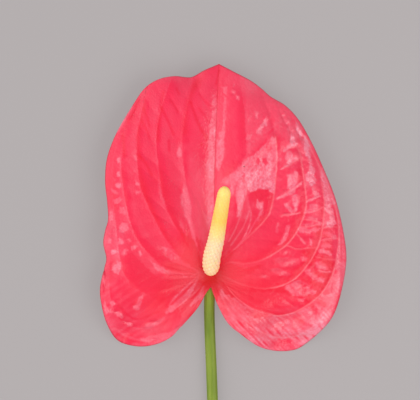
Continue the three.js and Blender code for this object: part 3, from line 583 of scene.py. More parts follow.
    (0.45, [(-46.2, 19.7), (-44.5, 19.1), (-43.2, 17.5), (-44.5, 16.6), (-45.7, 16.9)]),
    (0.4, [(-41.7, 19.2), (-39, 18.6), (-40.5, 17.3)]),
    (0.5, [(-39.8, 15.2), (-37.5, 16.2), (-36, 15.5), (-38, 13.9), (-39.5, 13.5)]),
    (0.55, [(-36.2, 13.1), (-35, 13.6), (-34, 11.5), (-34.7, 10.3), (-35.9, 11.5)]),
    (0.7, [(-49.7, 13.6), (-47.5, 13.9), (-46, 12.5), (-48, 11.8), (-49.6, 12.3)]),
    (0.45, [(-44, 13.1), (-41.8, 14.6), (-41.4, 13.5), (-43.3, 11.3)]),
    (0.7, [(-48.5, 4.8), (-46.3, 8.2), (-44.9, 7.6), (-44.7, 3.5), (-46, 1.3), (-47.6, 1.9),
        (-49.2, 3.8)]),
    # left of the node
    (0.2, [(-27.5, 15.8), (-24, 14.2), (-22, 15.2), (-20, 13.7), (-17, 10.7), (-11, 5.7), (-8, 3.8),
        (-11, 4.5), (-16, 6.5), (-20, 7.8), (-22.5, 10.8), (-24, 12.8)]),
    (0.4, [(-21.6, 10.2), (-19.5, 12.2), (-17.8, 9.5), (-20, 8.6)]),
    (0.5, [(-23.6, 15), (-21.8, 15), (-22, 13.2), (-23.2, 13.2)]),
    (0.4, [(-31, 9.6), (-28, 7.4), (-26, 5.9), (-22, 3.9), (-17, 2.7), (-12, 2.2), (-9, 1.8), (-15, 1),
        (-20, 1.2), (-24, 2.3), (-26.8, 3.4), (-28.8, 6)]),
    # the left lobe
    (0.55, [(-6.5, 0.5), (-8.5, -3), (-12.5, -8.3), (-16, -12.2), (-19, -14.2), (-20.5, -13.3),
        (-21.6, -15.5), (-20, -17.3), (-17.5, -15.7), (-13, -12.2), (-9, -6.7), (-7, -2.2)]),
    (0.5, [(-3.5, -6), (-5, -8), (-8, -10.5), (-11, -14), (-10, -14.8), (-6, -10.7), (-5.3, -12.2),
        (-3.8, -9)]),
    (0.55, [(-33.8, -8.8), (-35.5, -9.6), (-36.8, -12.6), (-38.8, -14), (-38.6, -16), (-36, -16.2),
        (-35.3, -13.5)]), (0.65, [(-50.2, -12.3), (-49, -11.3), (-47.8, -13), (-49, -14.5)]),
    (0.55, [(-51.7, -16.5), (-49.5, -15.6), (-49.1, -17.3), (-51, -18.2)]),
    (0.55, [(-47.7, -17.4), (-46, -16.8), (-44.3, -19.3), (-44.9, -20.5), (-47, -19)]),
    (0.55, [(-44.5, -22), (-41, -22.9), (-39.6, -24.5), (-41.5, -24.7)]),
    (0.3, [(-40, -25), (-36, -25.6), (-32, -24.6), (-28, -22.3), (-22, -18.8), (-25, -22.8), (-31, -25.5),
        (-36, -26.5)]), (0.5, [(-53.8, -12), (-52.5, -12), (-51.3, -17), (-52.2, -18.6), (-53.4, -15)]),
    (0.35, [(-36, -31.3), (-32, -30.3), (-26, -28.3), (-20, -27.3), (-15, -23.5), (-15.5, -26.5),
        (-20, -29.7), (-27, -32.2), (-33, -33.8)]),
]
PATCH_EDGE = 0.4               # half the width of a patch's soft edge
PATCH_WAVER, PATCH_WAVE = 0.3, 2.4     # small waves disturb the outlines
# Painted highlights along folds that are too fine to shape: width and line.
HIGHLIGHT_FOLDS = [
    (0.8, [(-6, 1.5), (-8.5, -4), (-13, -9), (-18, -13.5), (-22, -17.5)]),
    (0.6, [(-6, 1), (-11, -3.5), (-17, -9), (-21, -14)]), (0.6, [(-4, -5), (-6, -9.5), (-10, -13.5)]),
    (0.5, [(-6, 2.5), (-10, 0.5), (-14, 0.3)]), (0.5, [(-7, 3), (-14, 8), (-20, 13), (-24, 15)]),
    (0.9, [(-4.5, 9), (-7.5, 17), (-10, 27), (-12, 37), (-12.5, 44)]),
    (0.5, [(-3, 12), (-4, 22), (-4.5, 32)]), (0.4, [(9, 11), (15, 18), (19, 26), (20, 33)]),
    (0.4, [(10, 16), (16, 25), (19, 33)]), (0.4, [(12, 14), (18, 21), (22, 28), (26, 35)]),
    (0.4, [(9, 18), (13, 26), (16, 35)]),
]
# Painted shade along fine folds: width, how much is taken off the tone, and line.
SHADE_FOLDS = [
    (1.9, 0.3, [(-7, 98), (-9.5, 92), (-11.5, 86), (-12.8, 78), (-13, 72)]),
    (1.1, 0.3, [(-23.5, 92), (-25, 84), (-26, 76), (-26.2, 68)]),
    (1.1, 0.2, [(-35.8, 75), (-36.2, 68), (-35.5, 60)]),
    (0.9, 0.3, [(-43.8, 71), (-43.3, 65), (-42.8, 60)]),
    (0.6, 0.35, [(-24.8, 84.5), (-21.5, 78), (-18.5, 71)]),
    (0.7, 0.35, [(-10, 87), (-7.8, 80), (-5, 73.5), (-1.5, 68.5)]),
    (0.5, 0.3, [(-33.5, 84), (-31.5, 79), (-30.5, 75)]),
    (0.5, 0.3, [(-34.5, 78), (-32, 73.5), (-30.5, 69)]),
    (0.5, 0.3, [(-20.3, 88), (-18, 85), (-16.5, 82)]), (0.5, 0.3, [(-17.3, 94), (-16, 91)]),
    (0.8, 0.35, [(-36, 60.5), (-33, 57.5), (-31, 54), (-29.5, 51)]), (0.6, 0.3, [(-21, 68), (-20.7, 63)]),
    (0.5, 0.25, [(-6, 91), (-2, 86.5), (1, 84)]), (0.6, 0.1, [(-42, 57), (-38, 51)]),
    (0.5, 0.25, [(-6, 84), (-3, 80), (-0.8, 77)]), (0.5, 0.4, [(-10.5, 1.2), (-11.4, 0.2)]),
    (0.35, 0.5, [(-4.8, 67), (-4.7, 65.5)]), (0.5, 0.3, [(2.4, 96), (4, 103)]),
    (0.5, 0.3, [(-4, -4), (-9, -10.5), (-12, -14)]), (0.6, 0.25, [(-26, -17), (-38, -21), (-46, -14)]),
    (0.35, 0.5, [(21.6, -19.3), (22, -19.7)]), (0.35, 0.5, [(46, 70), (46.2, 69)]),
]
# Broad strokes of painted highlight or painted shade: width, how much is added to the tone, and line.
LIGHT_AND_SHADE_STROKES = [
    # the tip and the right shoulder
    (5, 0.22, [(8, 103), (14, 98.5), (20, 96.5)]), (4, 0.1, [(11, 99), (16, 95)]),
    (4, 0.12, [(22, 95), (30, 89), (36, 85)]), (1.2, -0.2, [(27.5, 79.5), (30, 78.5), (30.3, 74)]),
    (1, -0.3, [(43.2, 77), (45, 73.5)]), (4.5, 0.3, [(37, 76), (41, 74)]),
    (2, 0.07, [(12, 90), (12, 58)]), (1.4, 0.14, [(26, 69), (28, 71), (31.5, 74)]),
    (0.8, -0.2, [(46.5, 72.5), (48.5, 69.5)]), (3.5, 0.3, [(41, 72), (47, 66)]),
    (2.5, 0.17, [(19, 63), (26, 69), (32, 73), (38, 70), (41, 68)]),
    (1.3, 0.4, [(40.4, 69.5), (40.2, 66.5)]), (1.2, 0.35, [(46.5, 68.6), (47.6, 66)]),
    (1, -0.3, [(43.4, 68.4), (44.2, 65.6)]), (2.5, 0.2, [(46, 69), (49, 63)]),
    (2, 0.22, [(47.5, 68), (49, 62)]), (3.5, -0.28, [(31, 68), (25, 61)]),
    (3, 0.12, [(16, 60), (17, 66)]), (1.8, -0.25, [(24.5, 61), (28, 63.5)]),
    (2, 0.15, [(42.5, 63.5), (44, 58)]), (3, 0.15, [(48, 62), (50, 58)]),
    (2.5, 0.12, [(35, 60), (36.5, 57)]), (1.5, -0.3, [(31.3, 68), (31.5, 57), (31, 50)]),
    # the triangle and the bands beside it
    (1.2, -0.25, [(31.6, 58), (31.6, 53)]), (2, -0.12, [(8, 52), (12, 56)]),
    (2.4, 0.4, [(12.5, 50), (15, 51)]), (1.2, -0.15, [(8, 50), (10, 51)]),
    (1.5, 0.3, [(9, 47), (10.5, 43)]), (3, 0.15, [(18, 40), (20, 36), (24, 32.5)]),
    (2, 0.25, [(11, 40), (10, 32)]), (2, 0.12, [(20, 37), (24, 32)]),
    (1, 0.12, [(17.5, 29.5), (19.5, 33), (21, 36.5)]), (2.5, 0.15, [(10, 30), (17, 30)]),
    (3.5, -0.16, [(17, 27), (27, 27.5)]), (1.8, 0.2, [(9, 28), (8, 20)]),
    (2, -0.12, [(13, 16), (17, 21)]), (2, 0.2, [(7.5, 20), (7, 9)]),
    # the bands towards the right edge
    (0.8, -0.2, [(42.3, 78.5), (49, 67.2), (55, 54.6), (58.2, 46.6), (61, 39.5)]),
    (1.8, 0.28, [(38, 56), (41, 55)]), (1.6, 0.15, [(49.5, 57), (49, 52)]),
    (1.5, -0.2, [(43, 53), (43, 47)]), (2.5, 0.12, [(53, 52), (54.5, 47)]),
    (1, 0.2, [(55, 50.5), (55.6, 48)]), (2.2, 0.28, [(53, 56), (55, 50), (56.5, 40)]),
    (1.8, 0.2, [(48, 47), (50, 46)]), (2, 0.2, [(48, 46), (53, 45)]),
    (1.2, -0.2, [(59, 42.5), (60.2, 39.5)]), (1.6, 0.15, [(39, 36), (40.5, 41), (42, 45)]),
    (2.5, 0.25, [(60, 41), (62, 36)]), (1.2, -0.2, [(59, 34.5), (60.5, 31.5)]),
    (1.2, -0.25, [(46, 31.5), (46.8, 28.8)]), (1.8, 0.28, [(50, 29.5), (54, 28.5), (58, 27)]),
    (2.5, -0.1, [(52, 26), (50, 24)]), (1.4, -0.25, [(52.3, 26), (52.8, 23)]),
    (2.5, 0.15, [(62, 34), (65, 22), (66, 12)]), (2, -0.15, [(57, 23), (57, 19)]),
    (1.2, -0.2, [(54, 21.5), (59, 20.5)]), (2.5, -0.2, [(57, 22), (58.5, 14)]),
    (2, 0.2, [(62.5, 22), (62.5, 10)]), (1.5, 0.15, [(62, 19), (61.5, 9)]),
    (1.6, -0.25, [(46, 12.6), (48.8, 12), (49.2, 8.5)]), (1.5, 0.15, [(61.5, 16), (61, 6)]),
    (1.8, -0.2, [(48, 8), (51, 13)]), (9, -0.1, [(38, 20), (50, 10), (45, 0)]),
    (2.5, -0.12, [(51, 12), (50, 8)]), (1.3, -0.25, [(55, 9.4), (57.5, 7.4)]),
    (1.3, -0.3, [(56, 8.6), (60, 6.6)]), (1.4, -0.15, [(48.5, 5), (51.5, 9)]),
    (2.5, 0.12, [(66.5, 10), (66.5, 2)]), (1.2, 0.3, [(47.2, 4.6), (49, 4)]),
    (4.5, -0.22, [(57, 12), (54, 2), (49, -3)]), (1.4, -0.25, [(42.5, 2), (45, 3.6)]),
    (1.3, -0.25, [(51.5, 2), (58.5, 1)]),
    # the right lobe
    (1.3, -0.25, [(46, -1), (50, -3.5), (55, -4)]),
    (1, 0.5, [(43, -2), (45.5, -2.4), (47.4, -3.2), (49, -4.4)]), (3, -0.2, [(58, -8), (62, 0)]),
    (2, -0.12, [(8, -3.5), (18, -5.5)]), (2, -0.2, [(7, -3), (12, -4.4), (20, -6.6)]),
    (3, -0.15, [(38, -5.5), (46, -6.5)]), (2, 0.25, [(4.5, -5), (6, -9)]),
    (1.6, -0.2, [(44, -6), (49, -8.8)]), (1.4, -0.3, [(45, -9.3), (50, -8.8)]),
    (1.4, -0.25, [(62.8, -9.5), (62.3, -13.5)]), (3, -0.12, [(26, -12), (34, -12)]),
    (2.5, -0.1, [(27, -12), (32, -12)]), (3, -0.22, [(64, -8), (61, -17)]),
    (2.2, -0.25, [(3.5, -8), (7, -17)]), (3, -0.3, [(55, -12), (57, -14)]),
    (2.5, -0.2, [(62, -7), (61.5, -14), (59, -19)]), (2.5, 0.1, [(15, -12), (20, -14), (42, -15)]),
    (1.5, -0.25, [(48, -13.5), (50.5, -14)]), (2.5, 0.18, [(15, -12), (20, -14), (25, -15.5)]),
    (3, -0.15, [(9, -11), (11, -17)]), (1.6, -0.2, [(12, -13.5), (15.5, -16)]),
    (2.2, 0.2, [(30, -16.5), (38, -16.5), (46, -13.5)]), (1.8, -0.3, [(24, -18.5), (27, -18.3)]),
    (1.5, -0.15, [(15, -20.5), (22, -21)]), (1.8, -0.2, [(42, -21), (46, -22.5)]),
    (2, -0.25, [(44.5, -20.5), (46, -24)]), (1.6, -0.15, [(33, -25), (37, -22)]),
    (0.6, 0.14, [(10, -13), (14, -18.5), (20, -24.5), (27, -29), (35, -31), (42, -30.4), (46, -28.4)]),
    (1.2, -0.18, [(17, -23), (19, -26), (24, -28.5)]), (4, 0.35, [(51, -29), (57, -23)]),
    (1.6, -0.15, [(19, -26), (21, -27)]), (3, 0.22, [(36, -27.5), (48, -26)]),
    (1.6, 0.35, [(48, -31), (55, -25.5)]), (2.5, 0.15, [(38, -29), (42, -31.5), (50, -30)]),
    (3, 0.3, [(20, -30.5), (28, -35)]), (1.8, -0.2, [(31, -33.5), (36, -33.8), (42, -33)]),
    (2.5, -0.2, [(31, -35), (38, -33.5)]),
    # the midrib above the spadix
    (3, -0.12, [(0, 103.5), (7, 102)]), (2, -0.15, [(-3, 102), (-6, 95)]),
    (1.5, 0.18, [(3, 86), (3, 80), (2.8, 69)]), (2.5, -0.16, [(-1, 68.5), (-1, 66)]),
    (4, -0.08, [(-5, 70), (-4, 60)]),
    # beside the spadix
    (2, 0.15, [(0, 56), (0, 50)]), (2.5, 0.12, [(-6, 50), (-5.5, 42)]),
    (1.2, -0.15, [(-3.2, 56), (-3, 32)]), (1.8, 0.22, [(-4, 46), (-4, 28)]),
    (2, 0.2, [(0, 36), (-1.5, 30)]), (1.6, 0.25, [(-0.5, 33), (-3, 20)]),
    (1.8, 0.25, [(1, 36), (-1, 28), (-3.5, 16), (-4.5, 8)]), (1.6, 0.3, [(-1, 30), (-4.5, 8)]),
    # the left shoulder
    (2.5, 0.2, [(-24, 99.5), (-16, 99.5)]), (5, -0.08, [(-30, 95), (-23, 97)]),
    (2, -0.08, [(-8, 95), (-6, 80)]), (3.5, -0.2, [(-36, 86), (-39, 78)]),
    (0.8, -0.15, [(-35.5, 88.5), (-38, 83.4), (-44.2, 72.6)]), (3, -0.08, [(-17, 88), (-17, 70)]),
    (1.1, 0.9, [(-40.2, 84.6), (-47, 73.3)]), (4, -0.08, [(-10, 77), (-12, 72)]),
    (1.6, -0.15, [(-16, 68), (-12, 68)]), (3, -0.1, [(-50, 62), (-43, 72)]),
    (2.8, 0.1, [(-23.5, 83), (-24.5, 60), (-22.5, 48)]), (2, -0.1, [(-29, 75), (-28.5, 58), (-27, 48)]),
    # the left side
    (2, 0.1, [(-35, 62), (-33, 52)]), (1.2, -0.1, [(-12.6, 62), (-12.4, 50)]),
    (3, 0.12, [(-43, 58), (-40, 53)]), (3, -0.08, [(-50, 58), (-49.5, 50)]),
    (2, -0.1, [(-27, 52), (-26, 48)]), (3, 0.18, [(-10, 58), (-9, 48), (-8.5, 36)]),
    (2.5, 0.2, [(-41, 45), (-39, 43)]), (5, -0.1, [(-36, 44), (-27, 44)]),
    (1.5, -0.15, [(-14.5, 46), (-13.5, 40)]), (3, -0.15, [(-50.5, 47), (-49, 38)]),
    (2, -0.1, [(-33, 38), (-28, 28)]), (3, 0.2, [(-39.5, 36), (-38.5, 29), (-34, 21)]),
    (2, 0.15, [(-8, 32), (-6.5, 18)]), (2, -0.08, [(-38.5, 23), (-37, 20)]),
    (5, 0.26, [(-49, 26), (-48, 14)]), (0.5, 0.25, [(-5, 10), (-7, 16), (-9.5, 24), (-11, 29)]),
    (5, -0.06, [(-14, 24), (-9, 10)]), (2.5, 0.22, [(-45, 22), (-44.5, 12)]),
    (4, -0.1, [(-12, 20), (-10, 12)]), (3, 0.08, [(-30, 17), (-22, 15)]),
    (1.5, 0.18, [(-53, 24), (-53, 5)]), (5, -0.1, [(-12, 18), (-8, 8)]),
    (4, -0.26, [(-13, 18), (-9, 12), (-7, 6)]), (5, 0.07, [(-38, 6), (-29, 5)]),
    (4, -0.2, [(-20, 6), (-10, 4), (-5, 2)]), (2.2, 0.15, [(-28, 4), (-24, 4)]),
    (4, -0.12, [(-20, 4), (-8, 1), (-2, 0)]),
    # the left lobe
    (2, 0.1, [(-54, 3), (-54, -3)]), (3, -0.2, [(-25, -7.5), (-17, -3), (-18, 5)]),
    (3, -0.12, [(-42, -5), (-40, -5)]), (2, 0.18, [(-48.5, -4), (-48, -8)]),
    (2.5, 0.22, [(-6, -5), (-9, -8)]), (2, 0.12, [(-5, -5), (-8, -13)]),
    (1.8, 0.15, [(-15, -7), (-19, -13)]), (1.5, -0.12, [(-9, -13), (-7, -11)]),
    (1.8, -0.15, [(-17, -15), (-13, -10)]), (3, -0.12, [(-37, -12), (-18, -14)]),
    (3, -0.18, [(-30, -15), (-22, -13)]), (4, -0.08, [(-30, -14), (-24, -15)]),
    (3, -0.1, [(-38, -15), (-36, -15)]), (1.2, 0.15, [(-21, -16.5), (-18, -14.5)]),
    (1.8, 0.15, [(-42.5, -18), (-42.5, -19.5)]), (2, -0.12, [(-14, -20), (-12, -18)]),
    (5, 0.1, [(-50, -20), (-46, -25), (-38, -22)]), (2.5, 0.25, [(-53.5, -19), (-50, -26)]),
    (2, 0.12, [(-30, -25), (-26, -21.5)]), (4, 0.1, [(-38, -22), (-30, -25)]),
    (2.5, 0.25, [(-17, -26), (-13, -21)]), (1.6, -0.15, [(-42, -24), (-42, -28)]),
    (0.8, 0.6, [(-15.2, -26.6), (-17.5, -28.4)]),
    (0.5, 0.2, [(-48, -26), (-44, -29.5), (-39, -31.5), (-33, -32.3)]),
    (1.5, 0.3, [(-26, -32.5), (-19, -30)]),
    (0.6, -0.2, [(-47.5, -28.5), (-43, -31.8), (-37, -33.4), (-32, -33.6)]),
    (2, 0.3, [(-38, -34.5), (-28, -33.5)]),
]


def step_up(value, low, high):
    """0 below low and 1 above high, with the smooth cubic 3t^2 - 2t^3 between."""
    t = np.clip((value - low) / (high - low), 0, 1)
    return t * t * (3 - 2 * t)


def wave_noise(x, y, size, seed, waves=14):
    """Smooth noise between about -1 and 1: the mean of plane sine waves of this size, with seeded
    directions, lengths and phases, times the square root of half their number."""
    rng = np.random.default_rng(seed)
    total = 0
    for turn, stretch, phase in zip(rng.random(waves), rng.uniform(0.6, 1.6, waves), rng.random(waves)):
        k = 2 * np.pi / (size * stretch)
        total = total + np.sin(k * (x * np.cos(np.pi * turn) + y * np.sin(np.pi * turn)) + 2 * np.pi * phase)
    return total * math.sqrt(2 / waves) / 1.6


def blade_net(cells):
    """A square net wrapped on the blade. Each square ring of the net becomes the blade's edge shrunk about
    its heart; rings stand closer at the edge. Gives x, y and ring (0 at the heart, 1 at the edge)."""
    a, b = np.meshgrid(np.linspace(-1, 1, cells + 1), np.linspace(-1, 1, cells + 1), indexing="ij")
    square = np.maximum(abs(a), abs(b))
    safe = np.where(square == 0, 1, square)
    a, b = a / safe, np.where(square == 0, -1, b / safe)
    # The turn about the heart is 0 at the notch, 0.5 at the tip and 1 at the notch again.
    turn = np.where(abs(b) >= abs(a), np.where(b < 0, (1 - a / 8) % 1, 0.5 + a / 8),
                    np.where(a < 0, 0.25 + b / 8, 0.75 - b / 8))
    ring = square * (1.25 - 0.25 * square)
    edge = np.where((turn < 0.5)[..., None], evenly(spline(EDGE_LEFT), np.clip(turn * 2, 0, 1)),
                    evenly(spline(EDGE_RIGHT), np.clip(2 - turn * 2, 0, 1)))
    x, y = np.moveaxis(BLADE_HEART + ring[..., None] * (edge - BLADE_HEART), -1, 0)
    return x, y, ring


def nearest(x, y, line):
    """Distance from a line of straight pieces, how far along it the nearest point lies, and whether the
    place is on its right."""
    best = np.full(x.shape, np.inf)
    where, right = np.zeros(x.shape), np.zeros(x.shape, bool)
    run = 0.0
    for (ax, ay), (dx, dy) in zip(line[:-1], np.diff(line, axis=0)):
        length = math.hypot(dx, dy)
        t = np.clip(((x - ax) * dx + (y - ay) * dy) / length**2, 0, 1)
        distance = np.hypot(x - ax - t * dx, y - ay - t * dy)
        closer = distance < best
        where[closer] = (run + t * length)[closer]
        right[closer] = (dx * (y - ay) < dy * (x - ax))[closer]
        best = np.minimum(best, distance)
        run += length
    return best, where, right


def from_curve(x, y, points):
    """Distance from the smooth curve through these points."""
    return nearest(x, y, spline(points, 6))[0]


def blade_form(x, y, ring, from_midrib):
    """The blade's large form: a funnel round the node, a low crown, an edge that rolls down with a power
    of the ring, flutes in the edge, two lobes that dip to the table, and the valley of the midrib."""
    from_node = np.hypot(x, y)
    stir = 1 - bell(from_node, NODE_CALM)
    height = NODE_HEIGHT + FUNNEL_RISE * (1 - bell(from_node, FUNNEL_REACH))
    height += CROWN_RISE * (1 - bell(from_node, CROWN_REACH))
    height -= (EDGE_ROLL * stir + EDGE_ROLL_RIGHT * step_up(x, *ROLL_RIGHT)) * ring**EDGE_ROLL_POWER
    for low_x, low_y, drop in LOBE_LOW_POINTS:
        height -= drop * bell(np.hypot(x - low_x, y - low_y), LOBE_REACH)
    for flute_x, flute_y, lift, reach in EDGE_FLUTES:
        height += lift * bell(np.hypot(x - flute_x, y - flute_y), reach)
    return height - MIDRIB_DEPTH * bell(from_midrib, MIDRIB_REACH) * stir


def place_in_band(x, y, half):
    """Where each place lies in the bands of a half: the number of the band, its width there, across (-1 at
    its inner line, 1 at its outer), the length along it, blended between those of its two lines, and the
    distance from every line."""
    lines = [spline(MIDRIB, 6), *(spline(vein, 6) for vein in half["veins"]), spline(half["edge"])[::4]]
    distance, length, right = (np.stack(column) for column in zip(*(nearest(x, y, line) for line in lines)))
    band = (right == half["to_right"])[1:-1].sum(0)
    near, far = (np.take_along_axis(distance, (band + shift)[None], 0)[0] for shift in (0, 1))
    run_near, run_far = (np.take_along_axis(length, (band + shift)[None], 0)[0] for shift in (0, 1))
    width = near + far
    across = (near - far) / np.maximum(width, 1e-6)
    run = run_near + (run_far - run_near) * (across + 1) / 2
    return band, width, across, run, distance


def quilt(x, y, ring, half):
    """Quilting of one half. Cross veins cut each band into cells. The relief is a fall beyond each vein,
    o exp(1-o) of the share o of the band's foot, a swell between the veins, a crease on each vein with a
    cord in it, and in each cell a pillow (1-|across|^3)(1-|along|^2.2) whose top is pushed off its middle
    by a seeded amount. Gives the relief, how near a cord is, how thin the wax lies, and the tone of painted
    highlight and painted shade."""
    band, width, across, run, distance = place_in_band(x, y, half)
    spacing, slant, pillow_height, highlight_start, highlight_all, shade_end = (np.array(half[key])[band] for key in (
        "spacing", "slant", "pillow", "highlight_start", "highlight_all", "shade_end"))
    angle = np.arctan2(abs(x - half["pivot"][0]), y - half["pivot"][1])
    phase = np.where(spacing > 1, (run - slant * across) / spacing, angle / spacing) + 0.37 * band
    phase = phase + 0.16 * np.sin(2.3 * phase + 1.7 * band)
    cell = np.clip(np.floor(phase).astype(int), 0, CELLS_MOST - 1)
    along = 2 * (phase - np.floor(phase)) - 1
    rng = np.random.default_rng(half["seed"])
    push_across, push_along, swell = (
        rng.uniform(-1, 1, (len(distance), CELLS_MOST))[band, cell] for _ in range(3))

    from_node = np.hypot(x, y)
    roomy = step_up(width, *ROOMY)
    grown = step_up(from_node, *FALLS_BEGIN) * (band > 0)
    out = (across + 1) / 2
    fall = out / half["foot"] * np.exp(1 - out / half["foot"])
    fall -= out * np.exp(1 - 1 / half["foot"]) / half["foot"]      # it is back at 0 on the outer line
    relief = half["ridge"] * bell(distance[-2], RIDGE_REACH) * step_up(-y, *RIDGE_BEGINS)
    relief -= half["fall"] * width * fall * grown * (1 - 0.5 * ring**8)
    relief += half["swell"] * (1 - across**2) * grown * np.clip(width / SWELL_WIDTH, 0, 1.3)
    fade = step_up(from_node, *CREASES_BEGIN) * (1 - step_up(ring, *CREASES_FADE))
    relief -= half["crease"] * bell(distance[1:-1].min(0), CREASE_WIDTH) * fade
    cord = np.max([share * bell(line, CORD_WIDTH) * (1 - step_up(y, top - CORD_FADE, top + CORD_FADE))
                   for share, top, line in zip(half["cords"], half["tops"], distance[1:-1])], axis=0)
    relief += CORD_HEIGHT * cord * fade
    pillow = (1 - abs(across) ** 3) * (1 - abs(along) ** 2.2) * (1 + 0.35 * swell)
    pillow = pillow * (1 + 0.5 * push_across * across + 0.6 * push_along * along)
    calm = step_up(from_node, *PILLOWS_BEGIN) * (1 - step_up(ring, *PILLOWS_FADE))
    relief += pillow_height * roomy * pillow * calm

    # The wax lies thinner on the outer side of each band. Painted highlight lies on its inner side, and
    # painted shade just before its outer line.
    thin = step_up(across, *THIN_WAX_ACROSS) * roomy * step_up(from_node, *THIN_WAX_BEGINS)
    shade = 1 - step_up(across + 0.25 * swell * (1 - abs(along)), -1.2, 0.5)
    shade = shade * (1 - 0.4 * step_up(along, -0.5, 0.7) * (1 - step_up(along, 0.8, 1)))
    high_left = step_up(y, 52, 68) * step_up(-x, -4, 10)
    tone = highlight_start * (1 - 0.6 * high_left) * shade + highlight_all + 0.08 * high_left
    tone = tone * step_up(from_node, *HIGHLIGHT_BEGINS)
    high_right = step_up(x, 2, 8) * np.where(band > 1, 0.8 * step_up(y, 28, 56), step_up(y, 84, 94))
    shade_end = shade_end * (1 - 0.5 * high_left) * (1 - high_right)
    tone -= shade_end * step_up(across, *SHADE_ACROSS) * roomy * step_up(from_node, *SHADE_BEGINS)
    return relief, cord, thin, tone


def crumple(x, y, z):
    """Presses each facet into the sheet: within a soft-edged ellipse, the height is blended towards a plane
    through the height at its middle, that falls with this slope the way that the facet leans. Gives the
    height and how far each place is within a facet."""
    pressed = np.zeros_like(z)
    for (lean_x, lean_y), facets in LEANS:
        for middle_x, middle_y, length, width, degrees, slope in facets:
            dx, dy = x - middle_x, y - middle_y
            cosine, sine = math.cos(math.radians(degrees)), math.sin(math.radians(degrees))
            along, across = dx * cosine + dy * sine, dy * cosine - dx * sine
            inside = np.exp(-((along / length) ** 2 + (across / width) ** 2) ** 1.5 / 1.6)
            level = z.ravel()[np.argmin(dx**2 + dy**2)] - slope * (dx * lean_x + dy * lean_y)
            z = z + inside * (level - z)
            pressed = np.maximum(pressed, inside)
    return z, pressed


def lay_patches(x, y, tone):
    """Lays each patch over the tone: within its outline the tone becomes the patch's own. The edge is a
    smooth step of the distance to the outline."""
    waver_x, waver_y = (PATCH_WAVER * wave_noise(x, y, PATCH_WAVE, seed) for seed in (13, 14))
    x, y = x + waver_x, y + waver_y
    for patch_tone, outline in PATCHES:
        closed = np.array(outline + outline[:1], float)
        within = np.zeros(x.shape, bool)
        for (ax, ay), (bx, by) in zip(closed[:-1], closed[1:]):
            if ay != by:
                within ^= ((ay > y) != (by > y)) & (x < ax + (y - ay) * (bx - ax) / (by - ay))
        distance = nearest(x, y, closed)[0]
        share = step_up(np.where(within, distance, -distance), -PATCH_EDGE, PATCH_EDGE)
        tone = tone + share * (patch_tone - tone)
    return tone


def blade_relief(x, y, from_midrib, quilted, cross):
    """The quilted relief, with cords on the cross veins, a groove and a fine crease in the midrib, a sharp
    crest that falls off as exp(-distance), and pleats that run out of the funnel."""
    from_node, bearing = np.hypot(x, y), np.arctan2(x, y)
    relief = quilted + 0.5 * CORD_HEIGHT * cross
    groove = MIDRIB_NARROWING * (bell(from_midrib, GROOVE_REACH) - bell(from_midrib, MIDRIB_REACH))
    groove += MIDRIB_CREASE * bell(from_midrib, MIDRIB_CREASE_WIDTH)
    relief -= groove * step_up(from_node, *CREASES_BEGIN)
    crest = np.exp(-from_curve(x, y, VEINS_RIGHT[0]) / CREST_REACH)
    relief += CREST_HEIGHT * crest * step_up(y, *CREST_BEGINS) * (1 - step_up(y, *CREST_FADES))
    pleat = np.cos(PLEATS * bearing + 3 * np.sin(5 * bearing))
    pleat += 0.6 * np.cos(FINE_PLEATS * bearing + 3 * np.cos(3 * bearing))
    pleat *= 1 + 0.6 * np.sin(4 * bearing + 1)
    pleat *= step_up(from_node, *PLEATS_BEGIN) * (1 - step_up(from_node, *PLEATS_FADE))
    return relief + PLEAT_DEPTH * pleat


def painted_light_tone(x, y, shade, pressed, folds):
    """Painted highlight and painted shade on the blade: the greatest of the bands' shade, the facets and the
    pale folds, with the patches laid over it, the dark folds taken off and the broad strokes added."""
    mottle = 0.8 + 0.35 * wave_noise(x, y, 2.6, 12, 24)
    tone = np.maximum.reduce([shade, 0.2 * pressed * mottle - 0.3 * (pressed < 0.3),
                              0.45 * folds - 0.3 * (folds < 0.2)])
    tone = lay_patches(x, y, tone)
    for width, depth, line in SHADE_FOLDS:
        tone -= depth * bell(from_curve(x, y, line), width)
    for width, lift, line in LIGHT_AND_SHADE_STROKES:
        tone += lift * bell(nearest(x, y, line)[0], width)
    return tone


def break_up(x, y, tone, from_midrib, triangle, outer_right):
    """Breaks the painted highlight and shade up: small flecks, most in the bright triangle and along the
    midrib, and on the lobes many fine streaks of painted highlight on ribs that run down and outwards."""
    tone = tone * (1 + 0.35 * bell(from_midrib, 4) * wave_noise(x, 0.5 * y, 3, 11, 20))
    flecks = step_up(wave_noise(x, y, 1.5, 16, 30), 0, 0.45)
    tone *= 1 - flecks * (0.35 * triangle + 0.2 * outer_right + 0.3 * bell(from_midrib, 5) + 0.1)
    ribs = wave_noise(0.74 * x + 0.67 * y, (0.67 * x - 0.74 * y) / 6, 1.8, 15, 20)
    tone *= 1 + 0.55 * ribs * step_up(-y, *RIBS_BEGIN) * step_up(x, 0, 10)
    left_ribs = wave_noise(0.5 * x - 0.87 * y, (0.87 * x + 0.5 * y) / 6, 2.6, 17, 20)
    return tone + 0.07 * left_ribs * step_up(-y, *LEFT_RIBS_BEGIN) * step_up(-x, *LEFT_RIBS)


def normals_of(points):
    """Unit normals of a net: the cross product of its two directions of travel."""
    normal = np.cross(np.gradient(points, axis=0), np.gradient(points, axis=1))
    return normal / np.linalg.norm(normal, axis=-1, keepdims=True)


def net_faces(cells, turned):
    """Four-sided faces of a square net."""
    row = cells + 1
    here = (np.arange(cells)[:, None] * row + np.arange(cells)).ravel()
    faces = np.stack([here, here + row, here + row + 1, here + 1], -1)
    return faces[:, ::-1] if turned else faces


def rim_of(cells):
    """The points round the edge of a square net, in order."""
    row, side = cells + 1, np.arange(cells)
    return np.concatenate([side * row, cells * row + side, (cells - side) * row + cells, cells - side])


